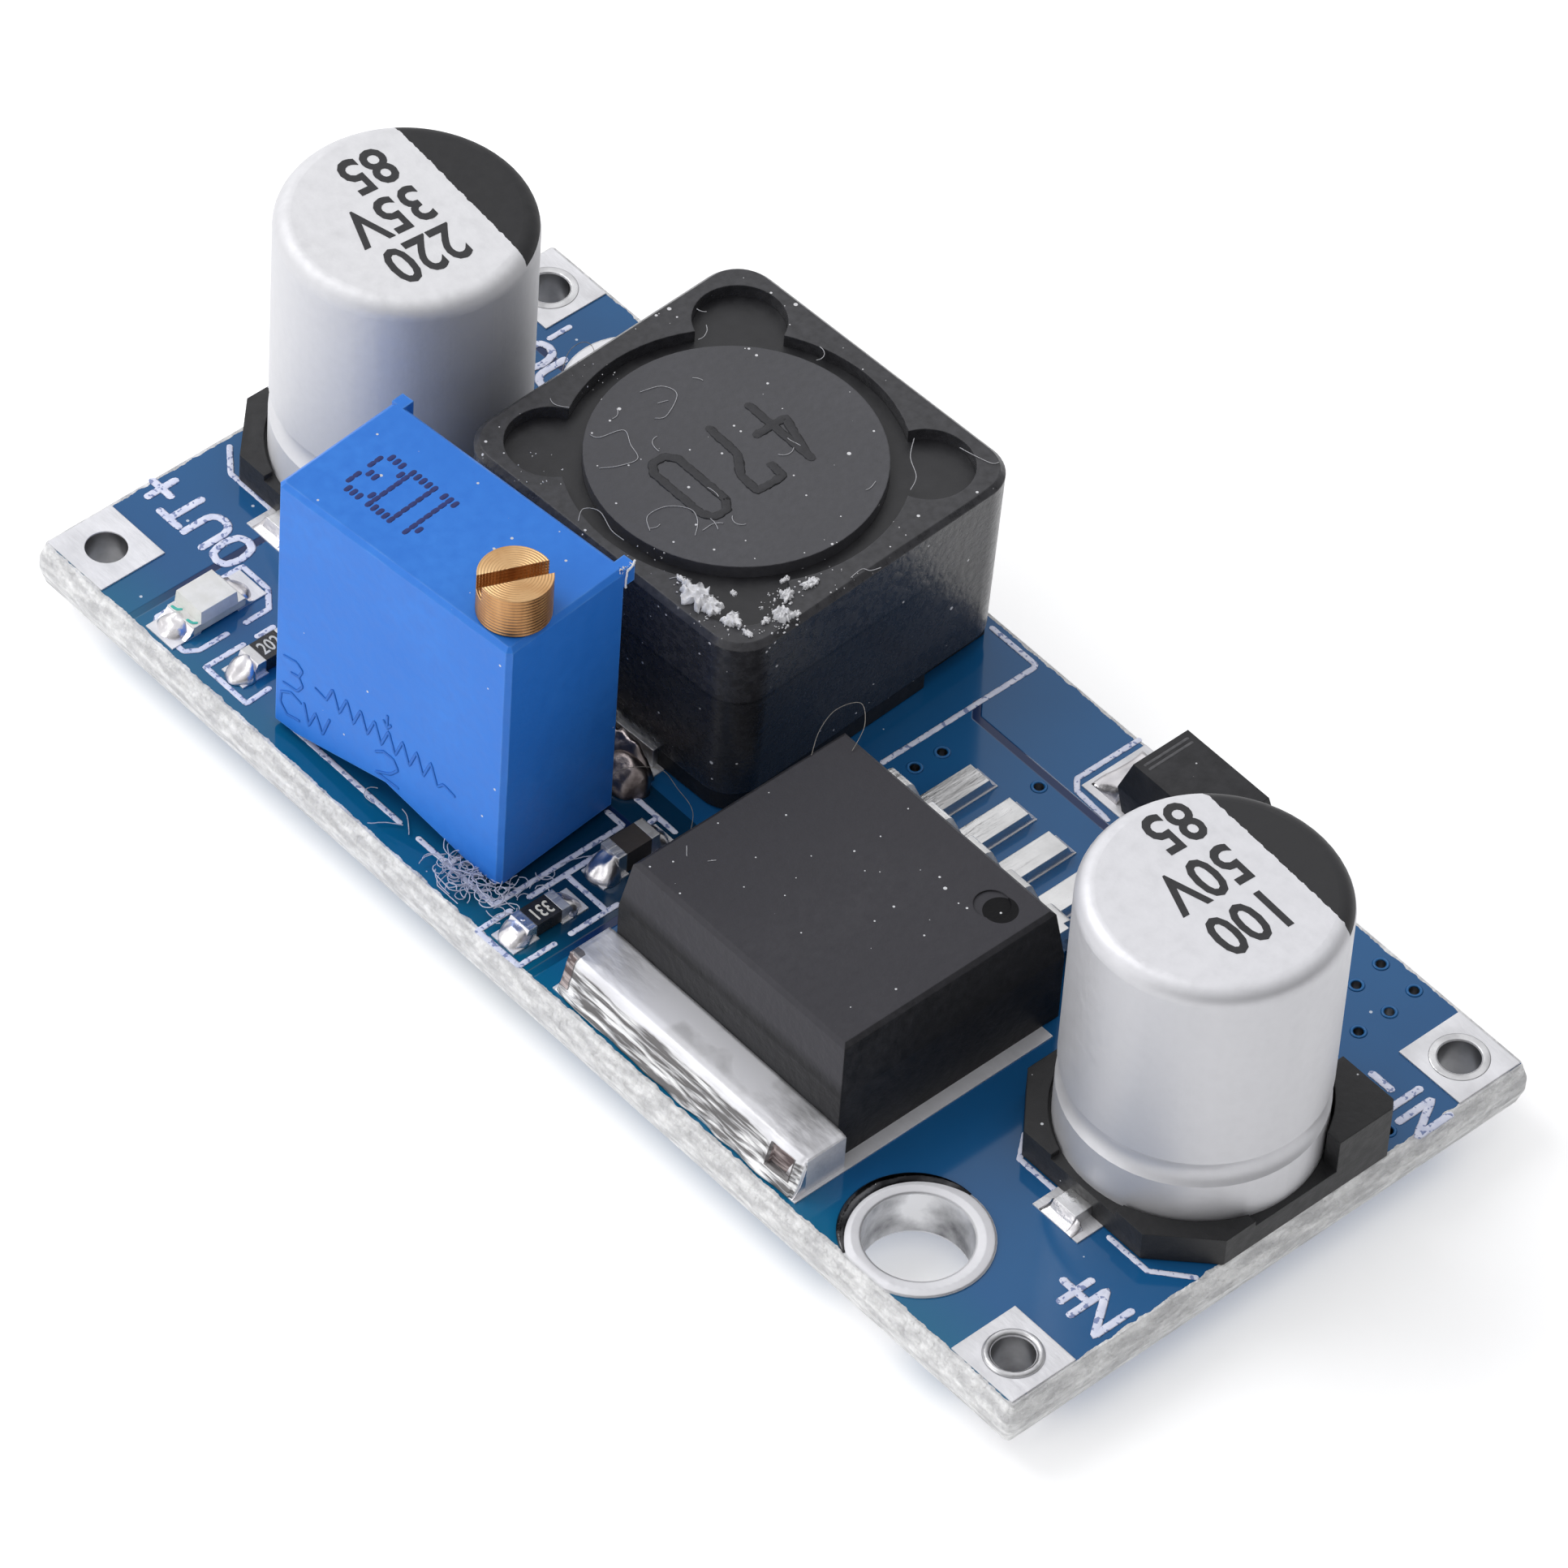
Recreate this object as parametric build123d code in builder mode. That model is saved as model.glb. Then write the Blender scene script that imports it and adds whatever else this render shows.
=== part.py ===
# Buck converter module: a small circuit board with a five-lead regulator, a shielded choke, two
# electrolytic capacitors, a worm-driven trimmer and a few chip parts.
# Millimetres. +X runs along the board towards the input end, +Y across it, +Z up from the tips of the
# trimmer's solder joints, which reach below the board.
import os
from math import atan2, cos, degrees, pi, radians, sin

from build123d import *

os.makedirs("parts", exist_ok=True)

# Board: its outline follows from the parts and from the gaps given with each of them
board_thickness = 1.6
corner_break = 0.35
score_web = 0.4
score_flare = 0.2
joint_drop = 0.9
copper = 0.05
plating = 0.05
deck = joint_drop + board_thickness
seat_height = deck + copper

# Mounting holes and wire pads, mirrored through the board's centre
mount_hole_radius = 1.65
mount_ring_radius = 2.25
mount_inset_x = 6.25
mount_inset_y = 2.12
mount_flat = 0.05
wire_hole_radius = 0.66
wire_pad_size = 2.55
wire_inset_x = 1.35
wire_inset_y = 1.32

# Vias: insets from the corner by the input's negative pad, and steps from the regulator's back
via_radius = 0.16
corner_vias = ((5.44, 0.57), (4.07, 0.53), (5.3, 1.7), (3.93, 1.67), (3.95, 2.9), (0.65, 4.87))
regulator_vias = ((-5.07, 4.4), (-5.12, 3.35), (-2.22, 5.7))
lamp_via = (4.95, 0.52)

# Regulator: moulded body, heat tab and five gull-wing leads
regulator_gap = 1.84
regulator_width = 9.65
regulator_depth = 8.7
regulator_height = 4.5
regulator_parting = 2.6
regulator_draft = 8
regulator_edge = 0.12
mark_radius = 0.55
mark_depth = 0.06
mark_inset_x = 1.65
mark_inset_y = 1.5
tab_width = 10.36
tab_thickness = 1.3
tab_reach = 1.5
tab_inset = 0.72
slug_width = 7.9
slug_depth = 6.6
tab_notch_width = 0.95
tab_notch_depth = 0.3
tab_notch_inset = 0.12
tab_notch_floor = 0.25
lead_count = 5
lead_pitch = 1.72
lead_width = 0.84
lead_thickness = 0.45
shoulder_width = 1.3
shoulder_length = 1.15
shoulder_reach = 0.85
lead_slope_run = 0.95
lead_bend_shift = 0.25
lead_bend = 0.35
foot_length = 2.3
lead_root = 1.0

# Choke: ferrite shield around a wound drum core, on a moulded base with two clip terminals
choke_gap = 0.98
choke_margin = 0.47
choke_turn = 2.5
choke_length = 12.1
choke_width = 11.7
choke_height = 7.2
choke_corner = 1.3
choke_rim = 0.18
choke_taper = 1.4
drum_radius = 4.55
drum_core_radius = 2.3
drum_flange = 1.0
drum_shift_y = -0.15
shield_gap = 0.7
lobe_radius = 1.45
lobe_offset_x = 4.0
lobe_offset_y = 3.85
resin_depth = 0.45
resin_thickness = 0.9
base_thickness = 0.7
base_inset = 0.2
base_notch_length = 3.4
base_notch_depth = 0.35
wire_gap = 0.15
clip_width = 5.6
clip_thickness = 0.2
clip_tuck = 2.0
clip_pad_front = 1.45
clip_pad_back = 0.25
clip_pad_margin = 0.3

# Trimmer: closed housing with a worm screw that turns a wiper wheel against a ceramic element
trimmer_shift = 0.945
trimmer_margin = 1.01
trimmer_clearance = 2.2
trimmer_turn = 4.8
trimmer_lift = 0.3
trimmer_length = 9.46
trimmer_width = 4.86
trimmer_edge = 0.15
trimmer_arch = 0.8
trimmer_arch_inset = 1.0
wall_long = 0.45
wall_end = 0.6
wall_screw = 0.3
wall_top = 0.8
nub_size = 0.45
nub_drop = 0.7
screw_inset_x = 1.11
screw_inset_y = 1.3
screw_head_radius = 1.125
screw_stand = 1.5
screw_gap = 0.05
slot_width = 0.5
slot_depth = 0.55
slot_length = 2.6
slot_angle = 62
neck_radius = 0.75
running_gap = 0.06
seal_groove_radius = 0.5
seal_groove_width = 0.3
seal_section = 0.115
seal_sides = 8
seal_drop = 0.4
worm_core_radius = 0.45
neck_below = 0.5
journal_radius = 0.35
journal_length = 0.35
wheel_teeth = 32
tooth_height = 0.24
tooth_foot_share = 0.3
tooth_crest_share = 0.17
wheel_thickness = 1.0
wheel_floor_gap = 0.49
wheel_headroom = 0.84
hub_radius = 0.6
element_thickness = 0.8
element_half_length = 3.7
element_clearance = 0.3
wiper_start = 0.85
wiper_fold = 2.35
wiper_contact = 1.75
wiper_width = 0.5
wiper_thickness = 0.13
wiper_gap = 0.03
potting_bottom = 0.95
potting_thickness = 0.7
pin_radius = 0.25
pin_hole_gap = 0.15
pin_pitch = 2.54
pin_count = 3
pin_height = 2.35
pin_land_radius = 0.85
solder_cone_radius = 0.72
solder_tip_radius = 0.34
pin_end = 0.15

# Capacitors: aluminium cans on moulded bases, positive side towards -Y
cap_gap = 1.19
cap_overhang = 0.035
input_cap_y = 0.58
output_cap_y = 0.33
can_radius = 4.0
can_height = 10.6
can_top_round = 0.55
can_foot_round = 0.35
bead_height = 1.55
groove_depth = 0.2
groove_span = 1.0
cap_base_size = 8.4
cap_base_plate = 0.85
cap_base_chamfer = 1.7
cap_rear_chamfer = 0.25
front_post_height = 1.05
front_post_size = 2.85
rear_post_height = 2.1
rear_post_size = 2.35
can_clearance = 0.1
cap_lead_width = 0.9
cap_lead_thickness = 0.2
cap_lead_start = 0.9
cap_lead_reach = 0.65
cap_lead_end_height = 0.42
cap_pad_width = 1.9
cap_pad_reach = 1.0
cap_pad_start = 1.6

# Diode
diode_shift = 2.11
diode_inset = 1.32
diode_length = 4.3
diode_width = 2.5
diode_height = 2.3
diode_parting = 1.1
diode_top_length = 3.5
diode_top_width = 2.2
diode_standoff = 0.12
diode_lead_width = 1.4
diode_lead_thickness = 0.2
diode_lead_tuck = 0.9
diode_pad_length = 2.2
diode_pad_width = 2.6
diode_pad_reach = 1.4

# Chip parts, long axis along Y
chip_length = 1.6
chip_width = 0.82
resistor_height = 0.48
chip_end = 0.32
feedback_gap = 1.8
feedback_inset = 1.62
led_resistor_gap = 1.84
led_resistor_inset = 2.27
filter_gap = 1.54
filter_inset = 5.32
filter_height = 0.8
chip_pad_length = 1.0
chip_pad_width = 1.0
chip_pad_gap = 0.9
led_shift = 1.05
led_inset = 2.02
led_length = 2.0
led_width = 1.25
led_substrate = 0.3
led_height = 0.8
led_lens_length = 1.45
led_lens_draft = 4
led_contact = 0.3
led_contact_thickness = 0.04
led_pad_length = 1.1

# Solder
fillet_reach = 0.35
fillet_waist_run = 0.4
fillet_waist_rise = 0.35
tab_fillet_reach = 0.5
tab_fillet_height = 1.0
regulator_pad_margin = 0.12
regulator_pad_length = 10.05
lead_pad_margin = 0.03

# The board's outline and the places on it
board_length = (
    2 * (cap_base_size - cap_overhang)
    + choke_gap
    + choke_length
    + regulator_gap
    + tab_width
    + cap_gap
)
board_width = trimmer_margin + trimmer_width + trimmer_clearance + choke_width + choke_margin
half_length = board_length / 2
half_width = board_width / 2
mount_x = half_length - mount_inset_x
mount_y = half_width - mount_inset_y
wire_x = half_length - wire_inset_x
wire_y = half_width - wire_inset_y
input_cap_x = half_length + cap_overhang - cap_base_size / 2
output_cap_x = -input_cap_x
choke_x = output_cap_x + cap_base_size / 2 + choke_gap + choke_length / 2
choke_y = half_width - choke_margin - choke_width / 2
regulator_x = choke_x + choke_length / 2 + regulator_gap + tab_width / 2
tab_front = tab_inset - half_width
regulator_front = tab_front + tab_reach
regulator_back = regulator_front + regulator_depth
trimmer_x = choke_x - trimmer_shift
trimmer_y = trimmer_margin + trimmer_width / 2 - half_width
diode_x = regulator_x + diode_shift
diode_y = half_width - diode_inset
trimmer_left = trimmer_x - trimmer_length / 2
trimmer_right = trimmer_x + trimmer_length / 2
chip_spots = [
    (trimmer_right + feedback_gap, feedback_inset - half_width),
    (trimmer_left - led_resistor_gap, led_resistor_inset - half_width),
    (trimmer_right + filter_gap, filter_inset - half_width),
]
led_x = output_cap_x + led_shift
led_y = led_inset - half_width
mount_spots = [(mount_x, -mount_y), (-mount_x, mount_y)]
wire_spots = [(sx * wire_x, sy * wire_y) for sx in (-1, 1) for sy in (-1, 1)]
via_spots = [(half_length - inset_x, half_width - inset_y) for inset_x, inset_y in corner_vias]
via_spots += [(regulator_x + step_x, regulator_back + step_y) for step_x, step_y in regulator_vias]
via_spots.append((lamp_via[0] - half_length, lamp_via[1] - half_width))
choke_dir = (cos(radians(choke_turn)), sin(radians(choke_turn)), 0)
trimmer_dir = (cos(radians(trimmer_turn)), sin(radians(trimmer_turn)), 0)
choke_seat = Plane((choke_x, choke_y, seat_height), x_dir=choke_dir, z_dir=(0, 0, 1))
trimmer_deck = Plane((trimmer_x, trimmer_y, deck), x_dir=trimmer_dir, z_dir=(0, 0, 1))
trimmer_seat = trimmer_deck.offset(trimmer_lift)
# The trimmer's upright plane: local x along its length, local y up, facing the front of the board
trimmer_front = Plane(trimmer_seat.origin, x_dir=trimmer_dir, z_dir=-trimmer_seat.y_dir)
screw_x = trimmer_length / 2 - screw_inset_x
screw_y = screw_inset_y - trimmer_width / 2
wheel_tip_radius = screw_x - worm_core_radius - running_gap
wheel_centre = potting_bottom + potting_thickness + wheel_floor_gap + wheel_tip_radius
trimmer_height = wheel_centre + wheel_tip_radius + wheel_headroom + wall_top
pin_spots = [((i - (pin_count - 1) / 2) * pin_pitch, 0) for i in range(pin_count)]
pin_hole_radius = pin_radius + pin_hole_gap


# Board: fibreglass sheet, snapped from its panel along scored lines, so that a web of the full outline
# runs round it at half height and the edge leans in to each face. All holes go straight through.
score_depth = (board_thickness - score_web) / 2
score_angle = degrees(atan2(score_flare, score_depth))
with BuildPart() as circuit_board:
    for level, amount, lean in (
        (deck - score_depth, score_depth, score_angle),
        (joint_drop + score_depth, score_web, 0),
        (joint_drop + score_depth, -score_depth, score_angle),
    ):
        with BuildSketch(Plane.XY.offset(level)) as outline:
            Rectangle(board_length + 2 * score_flare, board_width + 2 * score_flare)
            fillet(outline.vertices(), corner_break)
        extrude(amount=amount, taper=lean)
    with BuildSketch(Plane.XY.offset(joint_drop)):
        with Locations(*mount_spots):
            Circle(mount_hole_radius)
        with Locations(*wire_spots):
            Circle(wire_hole_radius)
        with Locations(*via_spots):
            Circle(via_radius)
    extrude(amount=board_thickness, mode=Mode.SUBTRACT)
    with BuildSketch(trimmer_deck):
        with Locations(*pin_spots):
            Circle(pin_hole_radius + plating)
    extrude(amount=-board_thickness, mode=Mode.SUBTRACT)
circuit_board.part.label = "circuit_board"
export_step(circuit_board.part, "parts/circuit_board.step")

# Mounting hole rings: a tinned land round each hole on both faces, clipped at the board's edge
with BuildPart() as mounting_hole_rings:
    for level in (joint_drop - copper, deck):
        with BuildSketch(Plane.XY.offset(level)):
            with Locations(*mount_spots):
                Circle(mount_ring_radius)
            Rectangle(board_length, board_width - 2 * mount_flat, mode=Mode.INTERSECT)
            with Locations(*mount_spots):
                Circle(mount_hole_radius, mode=Mode.SUBTRACT)
        extrude(amount=copper)
mounting_hole_rings.part.label = "mounting_hole_rings"
export_step(mounting_hole_rings.part, "parts/mounting_hole_rings.step")

# Wire pads at the four corners, on both faces
with BuildPart() as wire_pads:
    for level in (joint_drop - copper, deck):
        with BuildSketch(Plane.XY.offset(level)):
            with Locations(*wire_spots):
                Rectangle(wire_pad_size, wire_pad_size - 2 * mount_flat)
                Circle(wire_hole_radius, mode=Mode.SUBTRACT)
        extrude(amount=copper)
wire_pads.part.label = "wire_pads"
export_step(wire_pads.part, "parts/wire_pads.step")

# Pads under the surface-mounted parts
foot_end = regulator_back + shoulder_length + lead_slope_run + foot_length
lead_spots = [
    regulator_x + (i - (lead_count - 1) / 2) * lead_pitch for i in range(lead_count)
]
regulator_pad_front = tab_front - tab_fillet_reach
regulator_pad_middle = regulator_pad_front + regulator_pad_length / 2
chip_pad_shift = (chip_pad_gap + chip_pad_length) / 2
with BuildPart() as component_pads:
    with BuildSketch(Plane.XY.offset(deck)):
        with Locations((regulator_x, regulator_pad_middle)):
            Rectangle(tab_width + 2 * regulator_pad_margin, regulator_pad_length)
        with Locations(*[(x, foot_end - (foot_length - fillet_reach) / 2) for x in lead_spots]):
            Rectangle(lead_width + 2 * lead_pad_margin, foot_length + fillet_reach)
        for cap_x, cap_y in ((input_cap_x, input_cap_y), (output_cap_x, output_cap_y)):
            pad_far = cap_base_size / 2 + cap_pad_reach
            for side in (-1, 1):
                with Locations((cap_x, cap_y + side * (cap_pad_start + pad_far) / 2)):
                    Rectangle(cap_pad_width, pad_far - cap_pad_start)
        for side in (-1, 1):
            diode_pad_x = diode_x + side * (diode_length / 2 + diode_pad_reach - diode_pad_length / 2)
            with Locations((diode_pad_x, diode_y)):
                Rectangle(diode_pad_length, diode_pad_width)
            for chip_x, chip_y in chip_spots:
                with Locations((chip_x, chip_y + side * chip_pad_shift)):
                    Rectangle(chip_pad_width, chip_pad_length)
            with Locations((led_x, led_y + side * (led_length + led_pad_length / 2) / 2)):
                Rectangle(led_width, led_pad_length)
    extrude(amount=copper)
    with BuildSketch(choke_seat.offset(-copper)):
        for side, reach in ((-1, clip_pad_front), (1, clip_pad_back)):
            with Locations((0, side * (choke_width + reach - clip_tuck) / 2)):
                Rectangle(clip_width + 2 * clip_pad_margin, clip_tuck + reach)
    extrude(amount=copper)
component_pads.part.label = "component_pads"
export_step(component_pads.part, "parts/component_pads.step")

# Plated holes for the trimmer's pins, with a round land on each face
with BuildPart() as pin_hole_plating:
    for level in (-board_thickness - copper, 0):
        with BuildSketch(trimmer_deck.offset(level)):
            with Locations(*pin_spots):
                Circle(pin_land_radius)
        extrude(amount=copper)
    with BuildSketch(trimmer_deck):
        with Locations(*pin_spots):
            Circle(pin_hole_radius + plating)
    extrude(amount=-board_thickness)
    with BuildSketch(trimmer_deck.offset(copper)):
        with Locations(*pin_spots):
            Circle(pin_hole_radius)
    extrude(amount=-board_thickness - 2 * copper, mode=Mode.SUBTRACT)
pin_hole_plating.part.label = "pin_hole_plating"
export_step(pin_hole_plating.part, "parts/pin_hole_plating.step")

# Regulator body: straight below the parting line, drafted above it, moulded round the slug and the leads
body_mid_y = (regulator_front + regulator_back) / 2
lead_bottom = regulator_parting - lead_thickness
mark_x = regulator_x + regulator_width / 2 - mark_inset_x
mark_y = regulator_back - mark_inset_y
with BuildPart() as regulator_body:
    with BuildSketch(Plane.XY.offset(seat_height)):
        with Locations((regulator_x, body_mid_y)):
            Rectangle(regulator_width, regulator_depth)
    extrude(amount=regulator_parting)
    with BuildSketch(Plane.XY.offset(seat_height + regulator_parting)):
        with Locations((regulator_x, body_mid_y)):
            Rectangle(regulator_width, regulator_depth)
    extrude(amount=regulator_height - regulator_parting, taper=regulator_draft)
    chamfer(regulator_body.faces().sort_by(Axis.Z)[-1].edges(), regulator_edge)
    with BuildSketch(Plane.XY.offset(seat_height)):
        with Locations((regulator_x, regulator_front + slug_depth / 2)):
            Rectangle(slug_width, slug_depth)
    extrude(amount=tab_thickness, mode=Mode.SUBTRACT)
    with BuildSketch(Plane.XY.offset(seat_height + lead_bottom)):
        with Locations(*[(x, regulator_back - lead_root / 2) for x in lead_spots]):
            Rectangle(shoulder_width, lead_root)
    extrude(amount=lead_thickness, mode=Mode.SUBTRACT)
    with BuildSketch(Plane.XY.offset(seat_height + regulator_height)):
        with Locations((mark_x, mark_y)):
            Circle(mark_radius)
    extrude(amount=-mark_depth, mode=Mode.SUBTRACT)
regulator_body.part.label = "regulator_body"
export_step(regulator_body.part, "parts/regulator_body.step")

# Heat tab: one copper plate, wide outside the body and narrower as the slug beneath it
with BuildPart() as regulator_tab:
    with BuildSketch(Plane.XY.offset(seat_height)):
        with Locations((regulator_x, tab_front + tab_reach / 2)):
            Rectangle(tab_width, tab_reach)
        with Locations((regulator_x, regulator_front + slug_depth / 2)):
            Rectangle(slug_width, slug_depth)
    extrude(amount=tab_thickness)
    with BuildSketch(Plane.XY.offset(seat_height)):
        for side in (-1, 1):
            notch_x = regulator_x + side * (tab_width / 2 - tab_notch_inset - tab_notch_width / 2)
            with Locations((notch_x, tab_front + tab_notch_depth / 2)):
                Rectangle(tab_notch_width, tab_notch_depth)
    extrude(amount=tab_thickness - tab_notch_floor, mode=Mode.SUBTRACT)
regulator_tab.part.label = "regulator_tab"
export_step(regulator_tab.part, "parts/regulator_tab.step")

# Gull-wing leads: shoulder with the trimmed tie bar, slope and foot, from one side profile
slope_start = shoulder_length
slope_end = shoulder_length + lead_slope_run
with BuildPart() as regulator_leads:
    for x in lead_spots:
        profile = Plane((x, regulator_back, seat_height), x_dir=(0, 1, 0), z_dir=(1, 0, 0))
        with BuildSketch(profile) as lead_side:
            with BuildLine():
                Polyline(
                    (-lead_root, regulator_parting),
                    (slope_start, regulator_parting),
                    (slope_end, lead_thickness),
                    (slope_end + foot_length, lead_thickness),
                    (slope_end + foot_length, 0),
                    (slope_end - lead_bend_shift, 0),
                    (slope_start - lead_bend_shift, lead_bottom),
                    (-lead_root, lead_bottom),
                    close=True,
                )
            make_face()
            bends = lead_side.vertices().filter_by_position(Axis.X, 0, slope_end + foot_length / 2)
            fillet(bends, lead_bend)
        extrude(amount=lead_width / 2, both=True)
        with BuildSketch(Plane.XY.offset(seat_height + lead_bottom)):
            with Locations((x, regulator_back + (shoulder_reach - lead_root) / 2)):
                Rectangle(shoulder_width, lead_root + shoulder_reach)
        extrude(amount=lead_thickness)
regulator_leads.part.label = "regulator_leads"
export_step(regulator_leads.part, "parts/regulator_leads.step")

# Choke base: moulded plate with a notch on each long side and a bed for the drum
with BuildPart() as choke_base:
    with BuildSketch(choke_seat) as base_outline:
        Rectangle(choke_length - 2 * base_inset, choke_width - 2 * base_inset)
        fillet(base_outline.vertices(), choke_corner - base_inset)
    extrude(amount=base_thickness)
    with BuildSketch(choke_seat):
        for side in (-1, 1):
            notch_y = side * (choke_width - base_notch_length) / 2
            with Locations((side * (choke_length / 2 - base_inset), notch_y)):
                Rectangle(2 * base_notch_depth, base_notch_length)
    extrude(amount=base_thickness, mode=Mode.SUBTRACT)
    with BuildSketch(choke_seat):
        for side in (-1, 1):
            with Locations((0, side * (choke_width / 2 - base_inset - clip_tuck / 2))):
                Rectangle(clip_width, clip_tuck)
    extrude(amount=clip_thickness, mode=Mode.SUBTRACT)
choke_base.part.label = "choke_base"
export_step(choke_base.part, "parts/choke_base.step")

# Clip terminals: tinned strips tucked under the base and turned up against the shield's ends
with BuildPart() as choke_terminals:
    for side in (-1, 1):
        with BuildSketch(choke_seat):
            with Locations((0, side * (choke_width / 2 - base_inset - clip_tuck / 2))):
                Rectangle(clip_width, clip_tuck)
        extrude(amount=clip_thickness)
        with BuildSketch(choke_seat):
            with Locations((0, side * (choke_width / 2 - base_inset + clip_thickness / 2))):
                Rectangle(clip_width, clip_thickness)
        extrude(amount=base_thickness)
choke_terminals.part.label = "choke_terminals"
export_step(choke_terminals.part, "parts/choke_terminals.step")

# Drum core: two ferrite flanges on a round post
drum_seat = Plane(
    choke_seat.origin + choke_seat.y_dir * drum_shift_y + Vector(0, 0, base_thickness),
    x_dir=choke_dir,
    z_dir=(0, 0, 1),
)
drum_profile = Plane(drum_seat.origin, x_dir=choke_dir, z_dir=-drum_seat.y_dir)
drum_height = choke_height - base_thickness
with BuildPart() as choke_drum:
    with BuildSketch(drum_profile):
        with BuildLine():
            Polyline(
                (0, 0),
                (drum_radius, 0),
                (drum_radius, drum_flange),
                (drum_core_radius, drum_flange),
                (drum_core_radius, drum_height - drum_flange),
                (drum_radius, drum_height - drum_flange),
                (drum_radius, drum_height),
                (0, drum_height),
                close=True,
            )
        make_face()
    revolve(axis=Axis(drum_seat.origin, (0, 0, 1)))
choke_drum.part.label = "choke_drum"
export_step(choke_drum.part, "parts/choke_drum.step")

# Winding: the enamelled wire's coil as one ring that fills the drum's groove
with BuildPart() as choke_winding:
    with BuildSketch(drum_seat.offset(drum_flange)):
        Circle(drum_radius - wire_gap)
        Circle(drum_core_radius, mode=Mode.SUBTRACT)
    extrude(amount=drum_height - 2 * drum_flange)
choke_winding.part.label = "choke_winding"
export_step(choke_winding.part, "parts/choke_winding.step")

# Shield: ferrite frame, tapering a little towards the board, with a round well and four corner lobes
lobe_spots = [(sx * lobe_offset_x, sy * lobe_offset_y) for sx in (-1, 1) for sy in (-1, 1)]
with BuildPart() as choke_shield:
    with BuildSketch(choke_seat.offset(choke_height)) as shield_outline:
        Rectangle(choke_length, choke_width)
        fillet(shield_outline.vertices(), choke_corner)
    extrude(amount=base_thickness - choke_height, taper=choke_taper)
    chamfer(choke_shield.faces().sort_by(Axis.Z)[-1].edges(), choke_rim)
    with BuildSketch(choke_seat.offset(base_thickness)):
        with Locations((0, drum_shift_y)):
            Circle(drum_radius + shield_gap)
        with Locations(*lobe_spots):
            Circle(lobe_radius)
    extrude(amount=drum_height, mode=Mode.SUBTRACT)
choke_shield.part.label = "choke_shield"
export_step(choke_shield.part, "parts/choke_shield.step")

# Resin that holds the drum in the shield, below the rim
with BuildPart() as choke_resin:
    with BuildSketch(choke_seat.offset(choke_height - resin_depth)):
        with Locations((0, drum_shift_y)):
            Circle(drum_radius + shield_gap)
        with Locations(*lobe_spots):
            Circle(lobe_radius)
        with Locations((0, drum_shift_y)):
            Circle(drum_radius, mode=Mode.SUBTRACT)
    extrude(amount=-resin_thickness)
choke_resin.part.label = "choke_resin"
export_step(choke_resin.part, "parts/choke_resin.step")

# Trimmer housing: deep shell open at the bottom, arched between its feet, with two rear nubs
cavity_left = wall_end - trimmer_length / 2
cavity_right = trimmer_length / 2 - wall_screw
cavity_width = trimmer_width - 2 * wall_long
cavity_mid = (cavity_left + cavity_right) / 2
cavity_front = wall_long - trimmer_width / 2
ceiling = trimmer_height - wall_top
wheel_middle = screw_y
wheel_back = wheel_middle + wheel_thickness / 2
with BuildPart() as trimmer_housing:
    with BuildSketch(trimmer_seat):
        Rectangle(trimmer_length, trimmer_width)
    extrude(amount=trimmer_height)
    chamfer(trimmer_housing.edges().filter_by(Axis.Z), trimmer_edge)
    chamfer(trimmer_housing.faces().sort_by(Axis.Z)[-1].edges(), trimmer_edge)
    nub_x = (trimmer_length - nub_size) / 2
    nub_y = (trimmer_width + nub_size) / 2 - trimmer_edge
    with BuildSketch(trimmer_seat.offset(trimmer_height - nub_drop)):
        with Locations((-nub_x, nub_y), (nub_x, nub_y)):
            Rectangle(nub_size, nub_size)
    extrude(amount=nub_drop)
    with BuildSketch(trimmer_seat):
        with Locations((cavity_mid, 0)):
            Rectangle(cavity_right - cavity_left, cavity_width)
    extrude(amount=ceiling, mode=Mode.SUBTRACT)
    with BuildSketch(trimmer_seat.offset(ceiling)):
        with Locations((screw_x, screw_y)):
            Circle(neck_radius + running_gap)
    extrude(amount=wall_top, mode=Mode.SUBTRACT)
    with BuildSketch(trimmer_front):
        with BuildLine():
            Polyline(
                (trimmer_arch_inset - trimmer_length / 2, 0),
                (0, trimmer_arch),
                (trimmer_length / 2 - trimmer_arch_inset, 0),
                close=True,
            )
        make_face()
    extrude(amount=trimmer_width, both=True, mode=Mode.SUBTRACT)
    with BuildSketch(trimmer_front.offset(-cavity_front)):
        with Locations((0, wheel_centre)):
            Circle(hub_radius)
    extrude(amount=cavity_front - wheel_back, mode=Mode.ADD)
trimmer_housing.part.label = "trimmer_housing"
export_step(trimmer_housing.part, "parts/trimmer_housing.step")

# Potting that closes the trimmer and holds its pins, with the screw's lower journal hole
with BuildPart() as trimmer_potting:
    with BuildSketch(trimmer_seat.offset(potting_bottom)):
        with Locations((cavity_mid, 0)):
            Rectangle(cavity_right - cavity_left, cavity_width)
        with Locations(*pin_spots):
            Circle(pin_radius, mode=Mode.SUBTRACT)
        with Locations((screw_x, screw_y)):
            Circle(journal_radius + running_gap, mode=Mode.SUBTRACT)
    extrude(amount=potting_thickness)
trimmer_potting.part.label = "trimmer_potting"
export_step(trimmer_potting.part, "parts/trimmer_potting.step")

# Pins: straight wires from the element down through the board
with BuildPart() as trimmer_pins:
    with BuildSketch(trimmer_seat.offset(pin_height)):
        with Locations(*pin_spots):
            Circle(pin_radius)
    extrude(amount=-pin_height - trimmer_lift - board_thickness - joint_drop)
trimmer_pins.part.label = "trimmer_pins"
export_step(trimmer_pins.part, "parts/trimmer_pins.step")

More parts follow.
